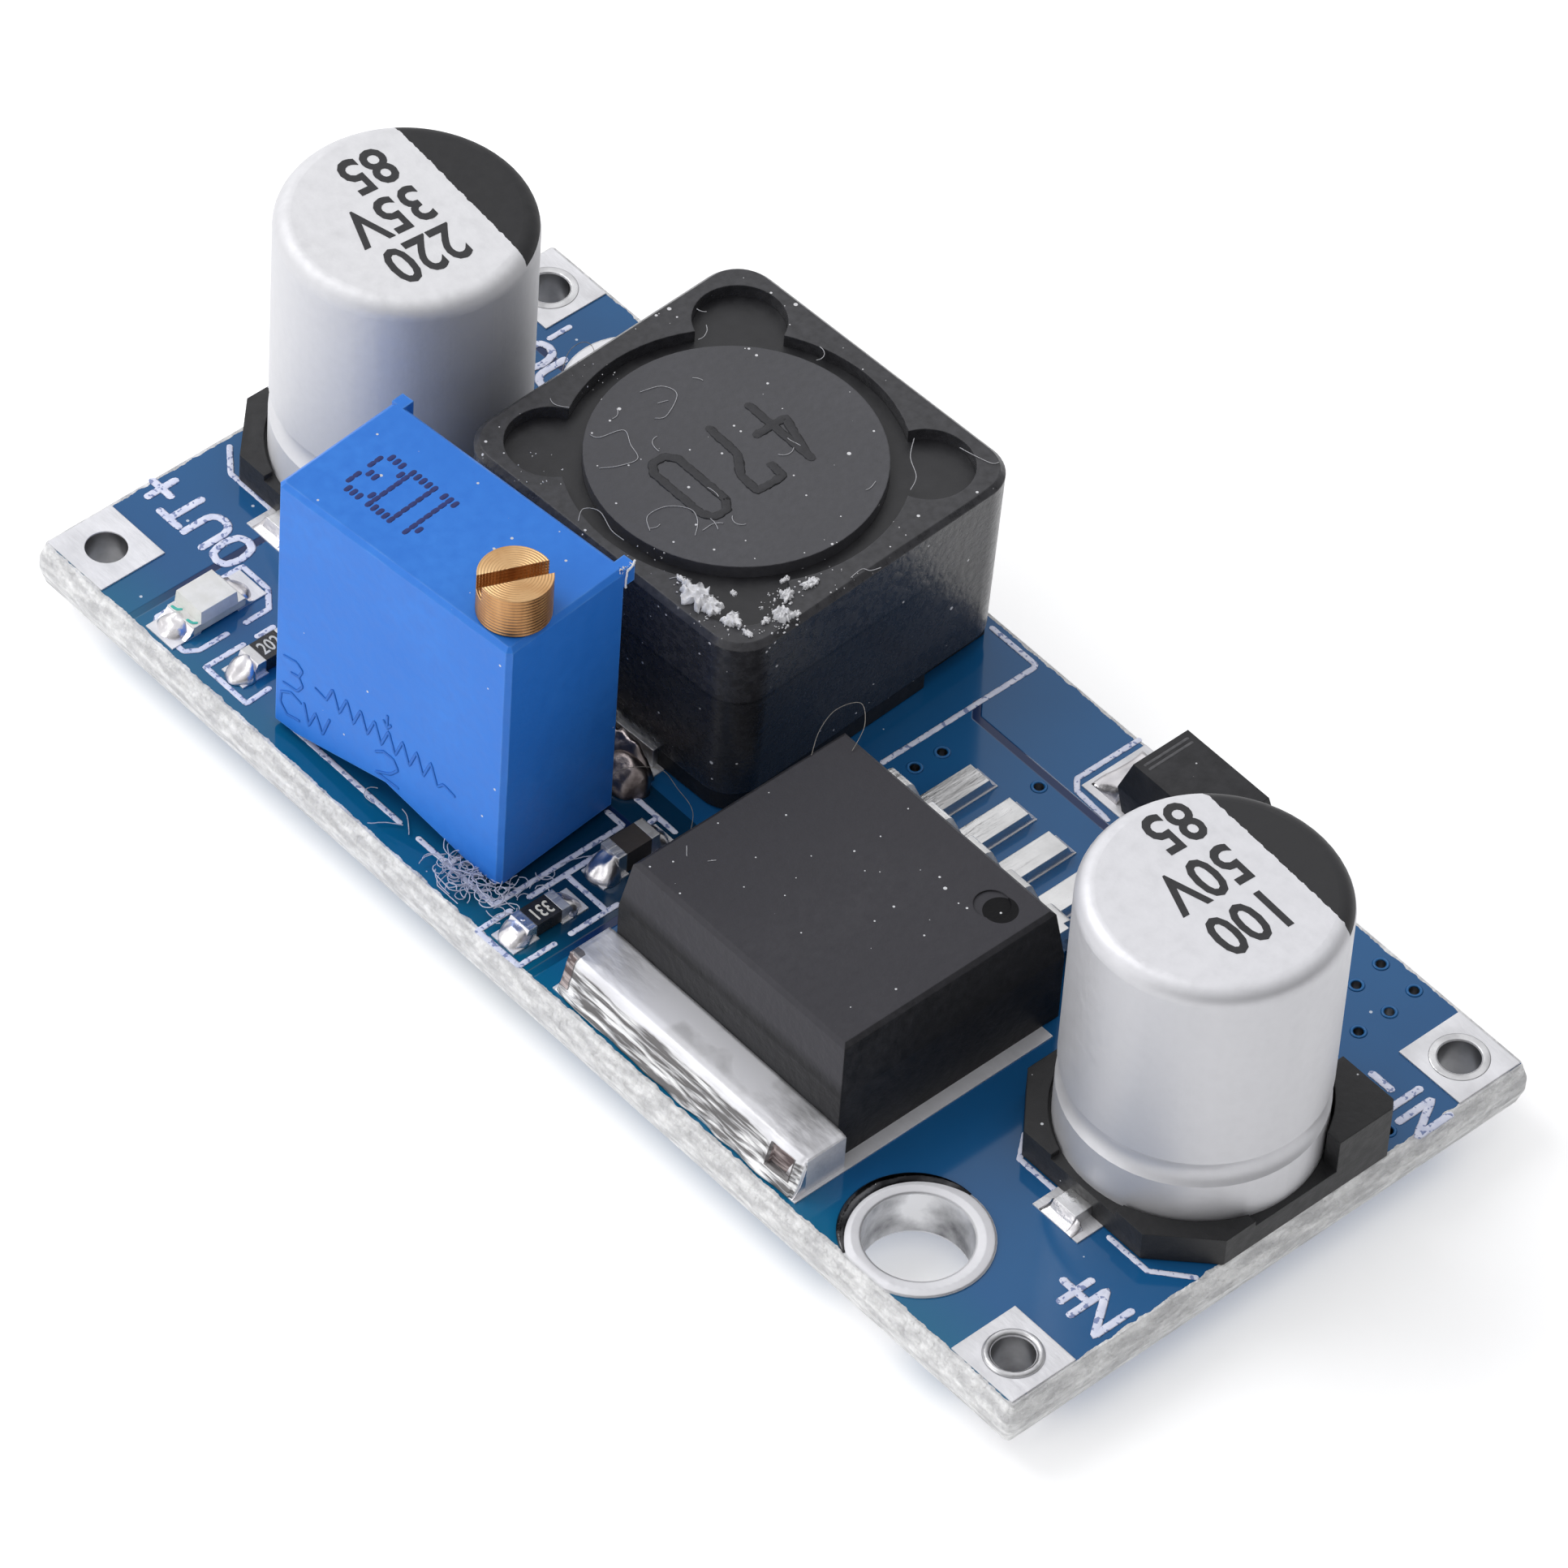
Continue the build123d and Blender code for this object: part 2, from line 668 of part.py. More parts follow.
# Solder around each pin: the plated hole filled and a cone under the board
cone_height = joint_drop - copper - pin_end
cone_taper = degrees(atan2(solder_cone_radius - solder_tip_radius, cone_height))
with BuildPart() as pin_solder:
    with BuildSketch(trimmer_deck.offset(-board_thickness - copper)):
        with Locations(*pin_spots):
            Circle(solder_cone_radius)
    extrude(amount=-cone_height, taper=cone_taper)
    with BuildSketch(trimmer_deck.offset(-board_thickness - copper)):
        with Locations(*pin_spots):
            Circle(pin_hole_radius)
    extrude(amount=board_thickness + 2 * copper)
    with BuildSketch(trimmer_deck.offset(copper)):
        with Locations(*pin_spots):
            Circle(pin_radius)
    extrude(amount=-board_thickness - copper - joint_drop, mode=Mode.SUBTRACT)
pin_solder.part.label = "pin_solder"
export_step(pin_solder.part, "parts/pin_solder.step")

# Ceramic element, standing on the potting behind the pins
element_front = pin_radius
element_bottom = potting_bottom + potting_thickness
with BuildPart() as trimmer_element:
    with BuildSketch(trimmer_seat.offset(element_bottom)):
        with Locations((0, element_front + element_thickness / 2)):
            Rectangle(2 * element_half_length, element_thickness)
    extrude(amount=ceiling - element_clearance - element_bottom)
trimmer_element.part.label = "trimmer_element"
export_step(trimmer_element.part, "parts/trimmer_element.step")

# Wiper wheel: toothed disc on the housing's hub, driven by the screw
wheel_root_radius = wheel_tip_radius - tooth_height
tooth_pitch = 2 * pi / wheel_teeth
tooth_foot = wheel_root_radius * tooth_pitch * tooth_foot_share
tooth_crest = wheel_tip_radius * tooth_pitch * tooth_crest_share
with BuildPart() as trimmer_wheel:
    with BuildSketch(trimmer_front.offset(-wheel_back)):
        with Locations((0, wheel_centre)):
            Circle(wheel_root_radius)
        with Locations((0, wheel_centre)):
            with PolarLocations(0, wheel_teeth):
                Polygon(
                    (wheel_root_radius - tooth_height, -tooth_foot),
                    (wheel_root_radius, -tooth_foot),
                    (wheel_tip_radius, -tooth_crest),
                    (wheel_tip_radius, tooth_crest),
                    (wheel_root_radius, tooth_foot),
                    (wheel_root_radius - tooth_height, tooth_foot),
                    align=None,
                )
        with Locations((0, wheel_centre)):
            Circle(hub_radius + running_gap, mode=Mode.SUBTRACT)
    extrude(amount=wheel_thickness)
trimmer_wheel.part.label = "trimmer_wheel"
export_step(trimmer_wheel.part, "parts/trimmer_wheel.step")

# Wiper: spring strip riveted to the wheel's back, folded over to touch the element
wheel_axis = Plane(trimmer_seat.origin + Vector(0, 0, wheel_centre), x_dir=trimmer_dir, z_dir=(0, 0, 1))
wiper_reach = element_front - wiper_gap
with BuildPart() as trimmer_wiper:
    with BuildSketch(wheel_axis):
        with BuildLine():
            Polyline(
                (-wiper_start, wheel_back),
                (-wiper_fold, wheel_back),
                (-wiper_fold, wheel_back + wiper_thickness),
                (-wiper_contact, wiper_reach),
                (-wiper_contact + wiper_thickness, wiper_reach),
                (-wiper_fold + 2 * wiper_thickness, wheel_back + wiper_thickness),
                (-wiper_start, wheel_back + wiper_thickness),
                close=True,
            )
        make_face()
    extrude(amount=wiper_width / 2, both=True)
trimmer_wiper.part.label = "trimmer_wiper"
export_step(trimmer_wiper.part, "parts/trimmer_wiper.step")

# Brass screw: slotted head, sealed neck, worm core and lower journal, turned as one piece
screw_seat = Plane(
    trimmer_seat.origin + trimmer_seat.x_dir * screw_x + trimmer_seat.y_dir * screw_y,
    x_dir=trimmer_dir,
    z_dir=(0, 0, 1),
)
screw_profile = Plane(screw_seat.origin, x_dir=trimmer_dir, z_dir=-screw_seat.y_dir)
screw_top = trimmer_height + screw_stand
head_bottom = trimmer_height + screw_gap
neck_bottom = ceiling - neck_below
shoulder = element_bottom + running_gap
seal_level = trimmer_height - seal_drop
with BuildPart() as trimmer_screw:
    with BuildSketch(screw_profile):
        with BuildLine():
            Polyline(
                (0, element_bottom - journal_length),
                (journal_radius, element_bottom - journal_length),
                (journal_radius, shoulder),
                (worm_core_radius, shoulder),
                (worm_core_radius, neck_bottom),
                (neck_radius, neck_bottom),
                (neck_radius, seal_level - seal_groove_width / 2),
                (seal_groove_radius, seal_level - seal_groove_width / 2),
                (seal_groove_radius, seal_level + seal_groove_width / 2),
                (neck_radius, seal_level + seal_groove_width / 2),
                (neck_radius, head_bottom),
                (screw_head_radius, head_bottom),
                (screw_head_radius, screw_top),
                (0, screw_top),
                close=True,
            )
        make_face()
    revolve(axis=Axis(screw_seat.origin, (0, 0, 1)))
    with BuildSketch(screw_seat.offset(screw_top)):
        Rectangle(slot_length, slot_width, rotation=slot_angle)
    extrude(amount=-slot_depth, mode=Mode.SUBTRACT)
trimmer_screw.part.label = "trimmer_screw"
export_step(trimmer_screw.part, "parts/trimmer_screw.step")

# Rubber seal in the screw's groove
with BuildPart() as trimmer_seal:
    with BuildSketch(screw_profile):
        with Locations((seal_groove_radius + seal_section, seal_level)):
            RegularPolygon(seal_section, seal_sides)
    revolve(axis=Axis(screw_seat.origin, (0, 0, 1)))
trimmer_seal.part.label = "trimmer_seal"
export_step(trimmer_seal.part, "parts/trimmer_seal.step")

# The two electrolytic capacitors: can, moulded base with corner posts, and terminals
half_base = cap_base_size / 2
can_seat = cap_base_plate
lead_length = half_base + cap_lead_reach - cap_lead_start
lead_mid = cap_lead_start + lead_length / 2
for side_name, cap_x, cap_y in (
    ("input", input_cap_x, input_cap_y),
    ("output", output_cap_x, output_cap_y),
):
    cap_seat = Plane((cap_x, cap_y, seat_height))
    can_profile = Plane((cap_x, cap_y, seat_height), x_dir=(1, 0, 0), z_dir=(0, -1, 0))
    with BuildPart() as capacitor_can:
        with BuildSketch(can_profile) as can_section:
            with BuildLine():
                Polyline(
                    (can_radius, can_seat + bead_height),
                    (can_radius, can_seat),
                    (0, can_seat),
                    (0, can_height),
                    (can_radius, can_height),
                    (can_radius, can_seat + bead_height + groove_span),
                )
                ThreePointArc(
                    (can_radius, can_seat + bead_height + groove_span),
                    (can_radius - groove_depth, can_seat + bead_height + groove_span / 2),
                    (can_radius, can_seat + bead_height),
                )
            make_face()
            outer_corners = can_section.vertices().group_by(Axis.X)[-1].sort_by(Axis.Y)
            fillet(outer_corners[-1], can_top_round)
            fillet(outer_corners[0], can_foot_round)
        revolve(axis=Axis((cap_x, cap_y, 0), (0, 0, 1)))
    capacitor_can.part.label = side_name + "_capacitor_can"
    export_step(capacitor_can.part, "parts/" + side_name + "_capacitor_can.step")

    with BuildPart() as capacitor_base:
        with BuildSketch(cap_seat) as plate_outline:
            Rectangle(cap_base_size, cap_base_size)
            chamfer(plate_outline.vertices().group_by(Axis.Y)[0], cap_base_chamfer)
            chamfer(plate_outline.vertices().group_by(Axis.Y)[-1], cap_rear_chamfer)
        extrude(amount=cap_base_plate)
        for height, post, row in (
            (front_post_height, front_post_size, -1),
            (rear_post_height, rear_post_size, 1),
        ):
            post_spot = half_base - post / 2
            with BuildSketch(cap_seat.offset(cap_base_plate)):
                with Locations((-post_spot, row * post_spot), (post_spot, row * post_spot)):
                    Rectangle(post, post)
                add(plate_outline.sketch_local, mode=Mode.INTERSECT)
                Circle(can_radius + can_clearance, mode=Mode.SUBTRACT)
            extrude(amount=height - cap_base_plate)
        with BuildSketch(cap_seat):
            with Locations((0, -lead_mid), (0, lead_mid)):
                Rectangle(cap_lead_width, lead_length)
        extrude(amount=cap_lead_thickness, mode=Mode.SUBTRACT)
    capacitor_base.part.label = side_name + "_capacitor_base"
    export_step(capacitor_base.part, "parts/" + side_name + "_capacitor_base.step")

    with BuildPart() as capacitor_terminals:
        with BuildSketch(cap_seat):
            with Locations((0, -lead_mid), (0, lead_mid)):
                Rectangle(cap_lead_width, lead_length)
        extrude(amount=cap_lead_thickness)
        end_mid = half_base + cap_lead_reach / 2
        with BuildSketch(cap_seat):
            with Locations((0, -end_mid), (0, end_mid)):
                Rectangle(cap_lead_width, cap_lead_reach)
        extrude(amount=cap_lead_end_height)
    capacitor_terminals.part.label = side_name + "_capacitor_terminals"
    export_step(capacitor_terminals.part, "parts/" + side_name + "_capacitor_terminals.step")

# Diode: body moulded in two halves that meet at the parting line, on folded terminals
diode_seat = Plane((diode_x, diode_y, seat_height))
half_diode = diode_length / 2
with BuildPart() as diode_body:
    with BuildSketch(diode_seat.offset(diode_standoff)):
        Rectangle((diode_length + diode_top_length) / 2, (diode_width + diode_top_width) / 2)
    with BuildSketch(diode_seat.offset(diode_parting)):
        Rectangle(diode_length, diode_width)
    loft()
    with BuildSketch(diode_seat.offset(diode_parting)):
        Rectangle(diode_length, diode_width)
    with BuildSketch(diode_seat.offset(diode_height)):
        Rectangle(diode_top_length, diode_top_width)
    loft()
diode_body.part.label = "diode_body"
export_step(diode_body.part, "parts/diode_body.step")

diode_front = Plane((diode_x, diode_y, seat_height), x_dir=(1, 0, 0), z_dir=(0, -1, 0))
with BuildPart() as diode_terminals:
    with BuildSketch(diode_front):
        for side in (-1, 1):
            with BuildLine():
                Polyline(
                    (side * (half_diode - diode_lead_tuck), 0),
                    (side * (half_diode + diode_lead_thickness), 0),
                    (side * (half_diode + diode_lead_thickness), diode_parting),
                    (side * half_diode, diode_parting),
                    (side * half_diode, diode_standoff),
                    (side * (half_diode - diode_lead_tuck), diode_standoff),
                    close=True,
                )
            make_face()
    extrude(amount=diode_lead_width / 2, both=True)
diode_terminals.part.label = "diode_terminals"
export_step(diode_terminals.part, "parts/diode_terminals.step")

# Chip resistors and the chip capacitor: ceramic body between two end caps
for chip_name, (chip_x, chip_y), chip_height in (
    ("feedback_resistor", chip_spots[0], resistor_height),
    ("lamp_resistor", chip_spots[1], resistor_height),
    ("filter_capacitor", chip_spots[2], filter_height),
):
    chip_seat = Plane((chip_x, chip_y, seat_height))
    with BuildPart() as chip_body:
        with BuildSketch(chip_seat):
            Rectangle(chip_width, chip_length - 2 * chip_end)
        extrude(amount=chip_height)
    chip_body.part.label = chip_name + "_body"
    export_step(chip_body.part, "parts/" + chip_name + "_body.step")
    cap_spot = (chip_length - chip_end) / 2
    with BuildPart() as chip_caps:
        with BuildSketch(chip_seat):
            with Locations((0, -cap_spot), (0, cap_spot)):
                Rectangle(chip_width, chip_end)
        extrude(amount=chip_height)
    chip_caps.part.label = chip_name + "_caps"
    export_step(chip_caps.part, "parts/" + chip_name + "_caps.step")

# Indicator lamp: substrate with wrapped contacts under a drafted lens
lamp_seat = Plane((led_x, led_y, seat_height))
contact_mid = (led_length - led_contact) / 2
with BuildPart() as lamp_substrate:
    with BuildSketch(lamp_seat.offset(led_contact_thickness)):
        Rectangle(led_width, led_length)
    extrude(amount=led_substrate - led_contact_thickness)
lamp_substrate.part.label = "lamp_substrate"
export_step(lamp_substrate.part, "parts/lamp_substrate.step")

with BuildPart() as lamp_lens:
    with BuildSketch(lamp_seat.offset(led_substrate)):
        Rectangle(led_width, led_lens_length)
    extrude(amount=led_height - led_substrate, taper=led_lens_draft)
lamp_lens.part.label = "lamp_lens"
export_step(lamp_lens.part, "parts/lamp_lens.step")

with BuildPart() as lamp_contacts:
    for level in (0, led_substrate):
        with BuildSketch(lamp_seat.offset(level)):
            with Locations((0, -contact_mid), (0, contact_mid)):
                Rectangle(led_width, led_contact)
        extrude(amount=led_contact_thickness)
lamp_contacts.part.label = "lamp_contacts"
export_step(lamp_contacts.part, "parts/lamp_contacts.step")

# Solder on the board's top: a wedge from each part's end down to its pad, falling along Y
# Each row holds the wedge's x, y, width, reach, height and the side towards which it falls.
wedges = [(regulator_x, tab_front, tab_width, tab_fillet_reach, tab_fillet_height, -1)]
wedges += [(x, foot_end, lead_width, fillet_reach, lead_thickness, 1) for x in lead_spots]
for side in (-1, 1):
    lead_tip = side * (half_base + cap_lead_reach)
    for cap_x, cap_y in ((input_cap_x, input_cap_y), (output_cap_x, output_cap_y)):
        wedges.append((cap_x, cap_y + lead_tip, cap_lead_width, fillet_reach, cap_lead_end_height, side))
    for chip_x, chip_y in chip_spots:
        chip_tip = chip_y + side * chip_length / 2
        wedges.append((chip_x, chip_tip, chip_width, fillet_reach, resistor_height, side))
    wedges.append((led_x, led_y + side * led_length / 2, led_width, fillet_reach, led_substrate, side))
with BuildPart() as top_solder:
    for x, y, width, reach, height, side in wedges:
        wedge_side = Plane((x, y, seat_height), x_dir=(0, side, 0), z_dir=(side, 0, 0))
        with BuildSketch(wedge_side):
            with BuildLine():
                Polyline(
                    (0, 0),
                    (reach, 0),
                    (reach * fillet_waist_run, height * fillet_waist_rise),
                    (0, height),
                    close=True,
                )
            make_face()
        extrude(amount=width / 2, both=True)
top_solder.part.label = "top_solder"
export_step(top_solder.part, "parts/top_solder.step")
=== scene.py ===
"""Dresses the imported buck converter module: finishes, board print, solder, markings, dust and the stage."""

from functools import reduce
from math import cos, pi, radians, sin
from random import Random

import bmesh
import bpy
from bpy.props import FloatProperty, FloatVectorProperty, PointerProperty
from mathutils import Euler, Matrix, Vector, noise


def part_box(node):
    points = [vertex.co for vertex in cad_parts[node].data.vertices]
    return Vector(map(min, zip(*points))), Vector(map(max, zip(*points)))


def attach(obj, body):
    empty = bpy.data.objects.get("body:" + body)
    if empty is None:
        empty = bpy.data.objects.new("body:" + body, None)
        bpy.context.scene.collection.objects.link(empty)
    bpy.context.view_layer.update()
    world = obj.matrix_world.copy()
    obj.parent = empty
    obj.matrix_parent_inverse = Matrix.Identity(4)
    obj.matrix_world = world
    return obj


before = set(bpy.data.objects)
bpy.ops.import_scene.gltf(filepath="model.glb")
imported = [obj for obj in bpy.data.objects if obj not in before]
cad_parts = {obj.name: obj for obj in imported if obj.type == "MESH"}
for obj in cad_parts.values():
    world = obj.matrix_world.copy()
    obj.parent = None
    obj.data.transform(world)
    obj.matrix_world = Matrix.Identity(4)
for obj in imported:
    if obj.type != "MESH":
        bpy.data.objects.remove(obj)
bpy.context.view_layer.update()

bl_info = {
    "name": "Buck converter module",
    "version": (1, 0, 0),
    "blender": (4, 5, 0),
    "location": "3D View > Sidebar > Module",
    "description": "Finishes a step-down converter board and adds its print, solder, markings and dust",
    "category": "Object",
}

MM = 0.001
BODY = "module"
BOARD_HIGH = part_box("circuit_board")[1]
DECK = BOARD_HIGH.z
SCORE_FLARE = 0.2 * MM
HALF_LENGTH = BOARD_HIGH.x - SCORE_FLARE
HALF_WIDTH = BOARD_HIGH.y - SCORE_FLARE
LAND_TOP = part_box("wire_pads")[1].z


def middle(node):
    """The centre of a CAD node's box, with the height of its top."""
    low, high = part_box(node)
    return Vector(((low.x + high.x) / 2, (low.y + high.y) / 2, high.z))


# Nodes, written as sums


def feed(tree, socket, value):
    """Gives a socket its value, or a link where the value comes from another node."""
    value = getattr(value, "socket", value)
    if isinstance(value, bpy.types.NodeSocket):
        tree.links.new(value, socket)
    else:
        socket.default_value = value


def put(tree, kind, inputs=(), **settings):
    """A new node of that kind, with its inputs fed."""
    node = tree.nodes.new(kind)
    for key, value in settings.items():
        setattr(node, key, value)
    for key, value in dict(inputs).items():
        feed(tree, node.inputs[key], value)
    return node


class Signal:
    """What a node puts out, with the sums that may be done on it."""

    def __init__(self, socket):
        self.socket = socket
        self.tree = socket.id_data

    def __add__(self, other):
        return maths(self.tree, "ADD", self, other)

    def __sub__(self, other):
        return maths(self.tree, "SUBTRACT", self, other)

    def __rsub__(self, other):
        return maths(self.tree, "SUBTRACT", other, self)

    def __mul__(self, other):
        return maths(self.tree, "MULTIPLY", self, other)

    def __truediv__(self, other):
        return maths(self.tree, "DIVIDE", self, other)

    def __abs__(self):
        return maths(self.tree, "ABSOLUTE", self)

    def sine(self):
        return maths(self.tree, "SINE", self)

    def highest(self, other):
        return maths(self.tree, "MAXIMUM", self, other)

    def lowest(self, other):
        return maths(self.tree, "MINIMUM", self, other)

    def above(self, limit):
        """One where it is greater than the limit, and zero elsewhere."""
        return maths(self.tree, "GREATER_THAN", self, limit)

    def below(self, limit):
        """One where it is less than the limit, and zero elsewhere."""
        return maths(self.tree, "LESS_THAN", self, limit)

    def spread(self, low, high, to_low=0.0, to_high=1.0):
        """Its range low to high laid over to_low to to_high, and held there outside it."""
        inputs = {0: self, 1: low, 2: high, 3: to_low, 4: to_high}
        return Signal(put(self.tree, "ShaderNodeMapRange", inputs).outputs[0])

    def between(self, to_low, to_high):
        """A mask's zero and one laid over two values."""
        return self.spread(0.0, 1.0, to_low, to_high)


def maths(tree, operation, *values):
    return Signal(put(tree, "ShaderNodeMath", enumerate(values), operation=operation).outputs[0])


def vectors(tree, operation, first, second=None):
    """A sum done on vectors. A dot product or a length is a plain value."""
    inputs = {0: first}
    if second is not None:
        inputs["Scale" if operation == "SCALE" else 1] = second
    node = put(tree, "ShaderNodeVectorMath", inputs, operation=operation)
    return Signal(node.outputs[1 if operation in ("DOT_PRODUCT", "LENGTH") else 0])


def split(tree, vector):
    """A vector's three parts."""
    return [Signal(part) for part in put(tree, "ShaderNodeSeparateXYZ", {0: vector}).outputs]


def facing(tree):
    """The three parts of the direction that a surface faces."""
    return split(tree, put(tree, "ShaderNodeNewGeometry").outputs["Normal"])


def colour(red, green, blue):
    return (red, green, blue, 1.0)


# Node groups, each made once


def new_group(name, family, inputs, outputs):
    """An empty group with its sockets, what it is given by name, and the sockets of what it makes."""
    tree = bpy.data.node_groups.new(name, family)
    for side, sockets in (("INPUT", inputs), ("OUTPUT", outputs)):
        for socket, kind in sockets.items():
            tree.interface.new_socket(socket, in_out=side, socket_type="NodeSocket" + kind)
    given = {socket.name: Signal(socket) for socket in tree.nodes.new("NodeGroupInput").outputs}
    return tree, given, tree.nodes.new("NodeGroupOutput").inputs


def steep_noise(tree, vector, given, detail):
    """Noise made steeper about its middle by the group's contrast."""
    texture = put(tree, "ShaderNodeTexNoise", {"Vector": vector, "Scale": given["Scale"], "Detail": detail})
    return Signal(texture.outputs[0]).spread(0.5 - given["Contrast"], given["Contrast"] + 0.5)


def mottle_group():
    """Soft cloudy change over a surface."""
    sockets = {"Vector": "Vector", "Scale": "Float", "Contrast": "Float"}
    tree, given, made = new_group("Mottle", "ShaderNodeTree", sockets, {"Value": "Float"})
    feed(tree, made["Value"], steep_noise(tree, given["Vector"], given, 5.0))
    return tree


def streaks_group():
    """Fine lines drawn along one direction: the vector is scaled little along it and much across it."""
    sockets = {"Vector": "Vector", "Along": "Vector", "Scale": "Float", "Contrast": "Float"}
    tree, given, made = new_group("Streaks", "ShaderNodeTree", sockets, {"Value": "Float"})
    drawn = vectors(tree, "MULTIPLY", given["Vector"], given["Along"])
    feed(tree, made["Value"], steep_noise(tree, drawn, given, 3.0))
    return tree


def specks_group():
    """Sparse specks of many sizes, such as dust."""
    sockets = {"Vector": "Vector", "Scale": "Float", "Size": "Float", "Amount": "Float"}
    tree, given, made = new_group("Specks", "ShaderNodeTree", sockets, {"Mask": "Float"})
    cells = put(tree, "ShaderNodeTexVoronoi", {"Vector": given["Vector"], "Scale": given["Scale"]}).outputs
    pick, growth, _ = put(tree, "ShaderNodeSeparateColor", {0: cells["Color"]}).outputs
    inside = Signal(cells["Distance"]).below(given["Size"] * growth)
    feed(tree, made["Mask"], inside * Signal(pick).below(given["Amount"]))
    return tree


def upward_group():
    """Where a surface faces up, for what settles on it."""
    tree, _, made = new_group("Upward", "ShaderNodeTree", {}, {"Mask": "Float"})
    feed(tree, made["Mask"], facing(tree)[2].spread(0.6, 0.95))
    return tree


def moat_group():
    """A straight gap of given half width between two points of the board, with round ends."""
    sockets = {"Vector": "Vector", "Start": "Vector", "End": "Vector", "Reach": "Float"}
    tree, given, made = new_group("Moat", "ShaderNodeTree", sockets, {"Mask": "Float"})
    flat = vectors(tree, "MULTIPLY", given["Vector"], (1, 1, 0))
    from_start = vectors(tree, "SUBTRACT", flat, given["Start"])
    line = vectors(tree, "SUBTRACT", given["End"], given["Start"])
    share = vectors(tree, "DOT_PRODUCT", from_start, line) / vectors(tree, "DOT_PRODUCT", line, line)
    nearest = vectors(tree, "SCALE", line, share.spread(0.0, 1.0))
    distance = vectors(tree, "LENGTH", vectors(tree, "SUBTRACT", from_start, nearest))
    feed(tree, made["Mask"], distance.spread(given["Reach"] * 0.75, given["Reach"], 1.0, 0.0))
    return tree


def shaken(tree, texture, amount):
    """How far a noise texture shifts a point."""
    centred = vectors(tree, "SUBTRACT", texture.outputs["Color"], (0.5, 0.5, 0.5))
    return vectors(tree, "SCALE", centred, amount)


def realized(tree, *parts):
    """Joined geometry with its instances made real."""
    both = tree.nodes.new("GeometryNodeJoinGeometry")
    for part in parts:
        tree.links.new(part, both.inputs[0])
    return put(tree, "GeometryNodeRealizeInstances", {0: both.outputs[0]}).outputs[0]


def stroke_group():
    """Round strokes along the edges of a wire mesh, pressed flat along Z, with ragged sides."""
    sizes = dict.fromkeys(("Radius", "Flatness", "Spacing", "Ragged", "Seed"), "Float")
    sockets = {"Geometry": "Geometry", **sizes, "Material": "Material"}
    tree, given, made = new_group("Stroke", "GeometryNodeTree", sockets, {"Geometry": "Geometry"})
    lines = put(tree, "GeometryNodeMeshToCurve", {0: given["Geometry"]}).outputs[0]
    spaced = {"Curve": lines, "Length": given["Spacing"]}
    even = put(tree, "GeometryNodeResampleCurve", spaced, mode="LENGTH").outputs[0]
    profile = {"Resolution": 8, "Radius": given["Radius"]}
    ring = put(tree, "GeometryNodeCurvePrimitiveCircle", profile).outputs[0]
    tube = put(tree, "GeometryNodeCurveToMesh", {"Curve": even, "Profile Curve": ring}).outputs[0]
    ends = put(tree, "GeometryNodeCurveEndpointSelection", {0: 1, 1: 1}).outputs[0]
    round_end = {"Segments": 8, "Rings": 6, "Radius": given["Radius"]}
    ball = put(tree, "GeometryNodeMeshUVSphere", round_end).outputs[0]
    at_ends = {"Points": even, "Selection": ends, "Instance": ball}
    caps = put(tree, "GeometryNodeInstanceOnPoints", at_ends).outputs[0]
    place = put(tree, "GeometryNodeInputPosition").outputs[0]
    ragged = {"Vector": place, "W": given["Seed"], "Scale": 7000.0, "Detail": 2.0}
    texture = put(tree, "ShaderNodeTexNoise", ragged, noise_dimensions="4D")
    x, y, z = split(tree, vectors(tree, "ADD", place, shaken(tree, texture, given["Ragged"])))
    target = put(tree, "ShaderNodeCombineXYZ", {0: x, 1: y, 2: z * given["Flatness"]}).outputs[0]
    pressed = {"Geometry": realized(tree, tube, caps), "Position": target}
    flat = put(tree, "GeometryNodeSetPosition", pressed).outputs[0]
    done = put(tree, "GeometryNodeSetMaterial", {"Geometry": flat, "Material": given["Material"]}).outputs[0]
    feed(tree, made[0], done)
    return tree


def scatter_group():
    """Crumbs strewn over a mesh: small broken flakes of random size and turn."""
    sizes = dict.fromkeys(("Density", "Least", "Most", "Lumps"), "Float")
    sockets = {"Geometry": "Geometry", **sizes, "Seed": "Int", "Material": "Material"}
    tree, given, made = new_group("Scatter", "GeometryNodeTree", sockets, {"Geometry": "Geometry"})
    strewn = {"Mesh": given["Geometry"], "Density": given["Density"], "Seed": given["Seed"]}
    points = put(tree, "GeometryNodeDistributePointsOnFaces", strewn).outputs[0]
    broken = {"Size": (1.7, 1.3, 0.8), "Vertices X": 3, "Vertices Y": 3, "Vertices Z": 2}
    chunk = put(tree, "GeometryNodeMeshCube", broken).outputs[0]
    turns = {0: (0.0, 0.0, 0.0), 1: (6.28, 6.28, 6.28), "Seed": given["Seed"]}
    turn = put(tree, "FunctionNodeRandomValue", turns, data_type="FLOAT_VECTOR").outputs[0]
    spans = {2: given["Least"], 3: given["Most"], "Seed": given["Seed"]}
    size = put(tree, "FunctionNodeRandomValue", spans, data_type="FLOAT").outputs[1]
    placed = {"Points": points, "Instance": chunk, "Rotation": turn, "Scale": size}
    whole = realized(tree, put(tree, "GeometryNodeInstanceOnPoints", placed).outputs[0])
    place = put(tree, "GeometryNodeInputPosition").outputs[0]
    texture = put(tree, "ShaderNodeTexNoise", {"Vector": place, "Scale": 6500.0, "Detail": 2.0})
    lumpy = {"Geometry": whole, "Offset": shaken(tree, texture, given["Lumps"])}
    moved = put(tree, "GeometryNodeSetPosition", lumpy).outputs[0]
    done = put(tree, "GeometryNodeSetMaterial", {"Geometry": moved, "Material": given["Material"]}).outputs[0]
    feed(tree, made[0], done)
    return tree


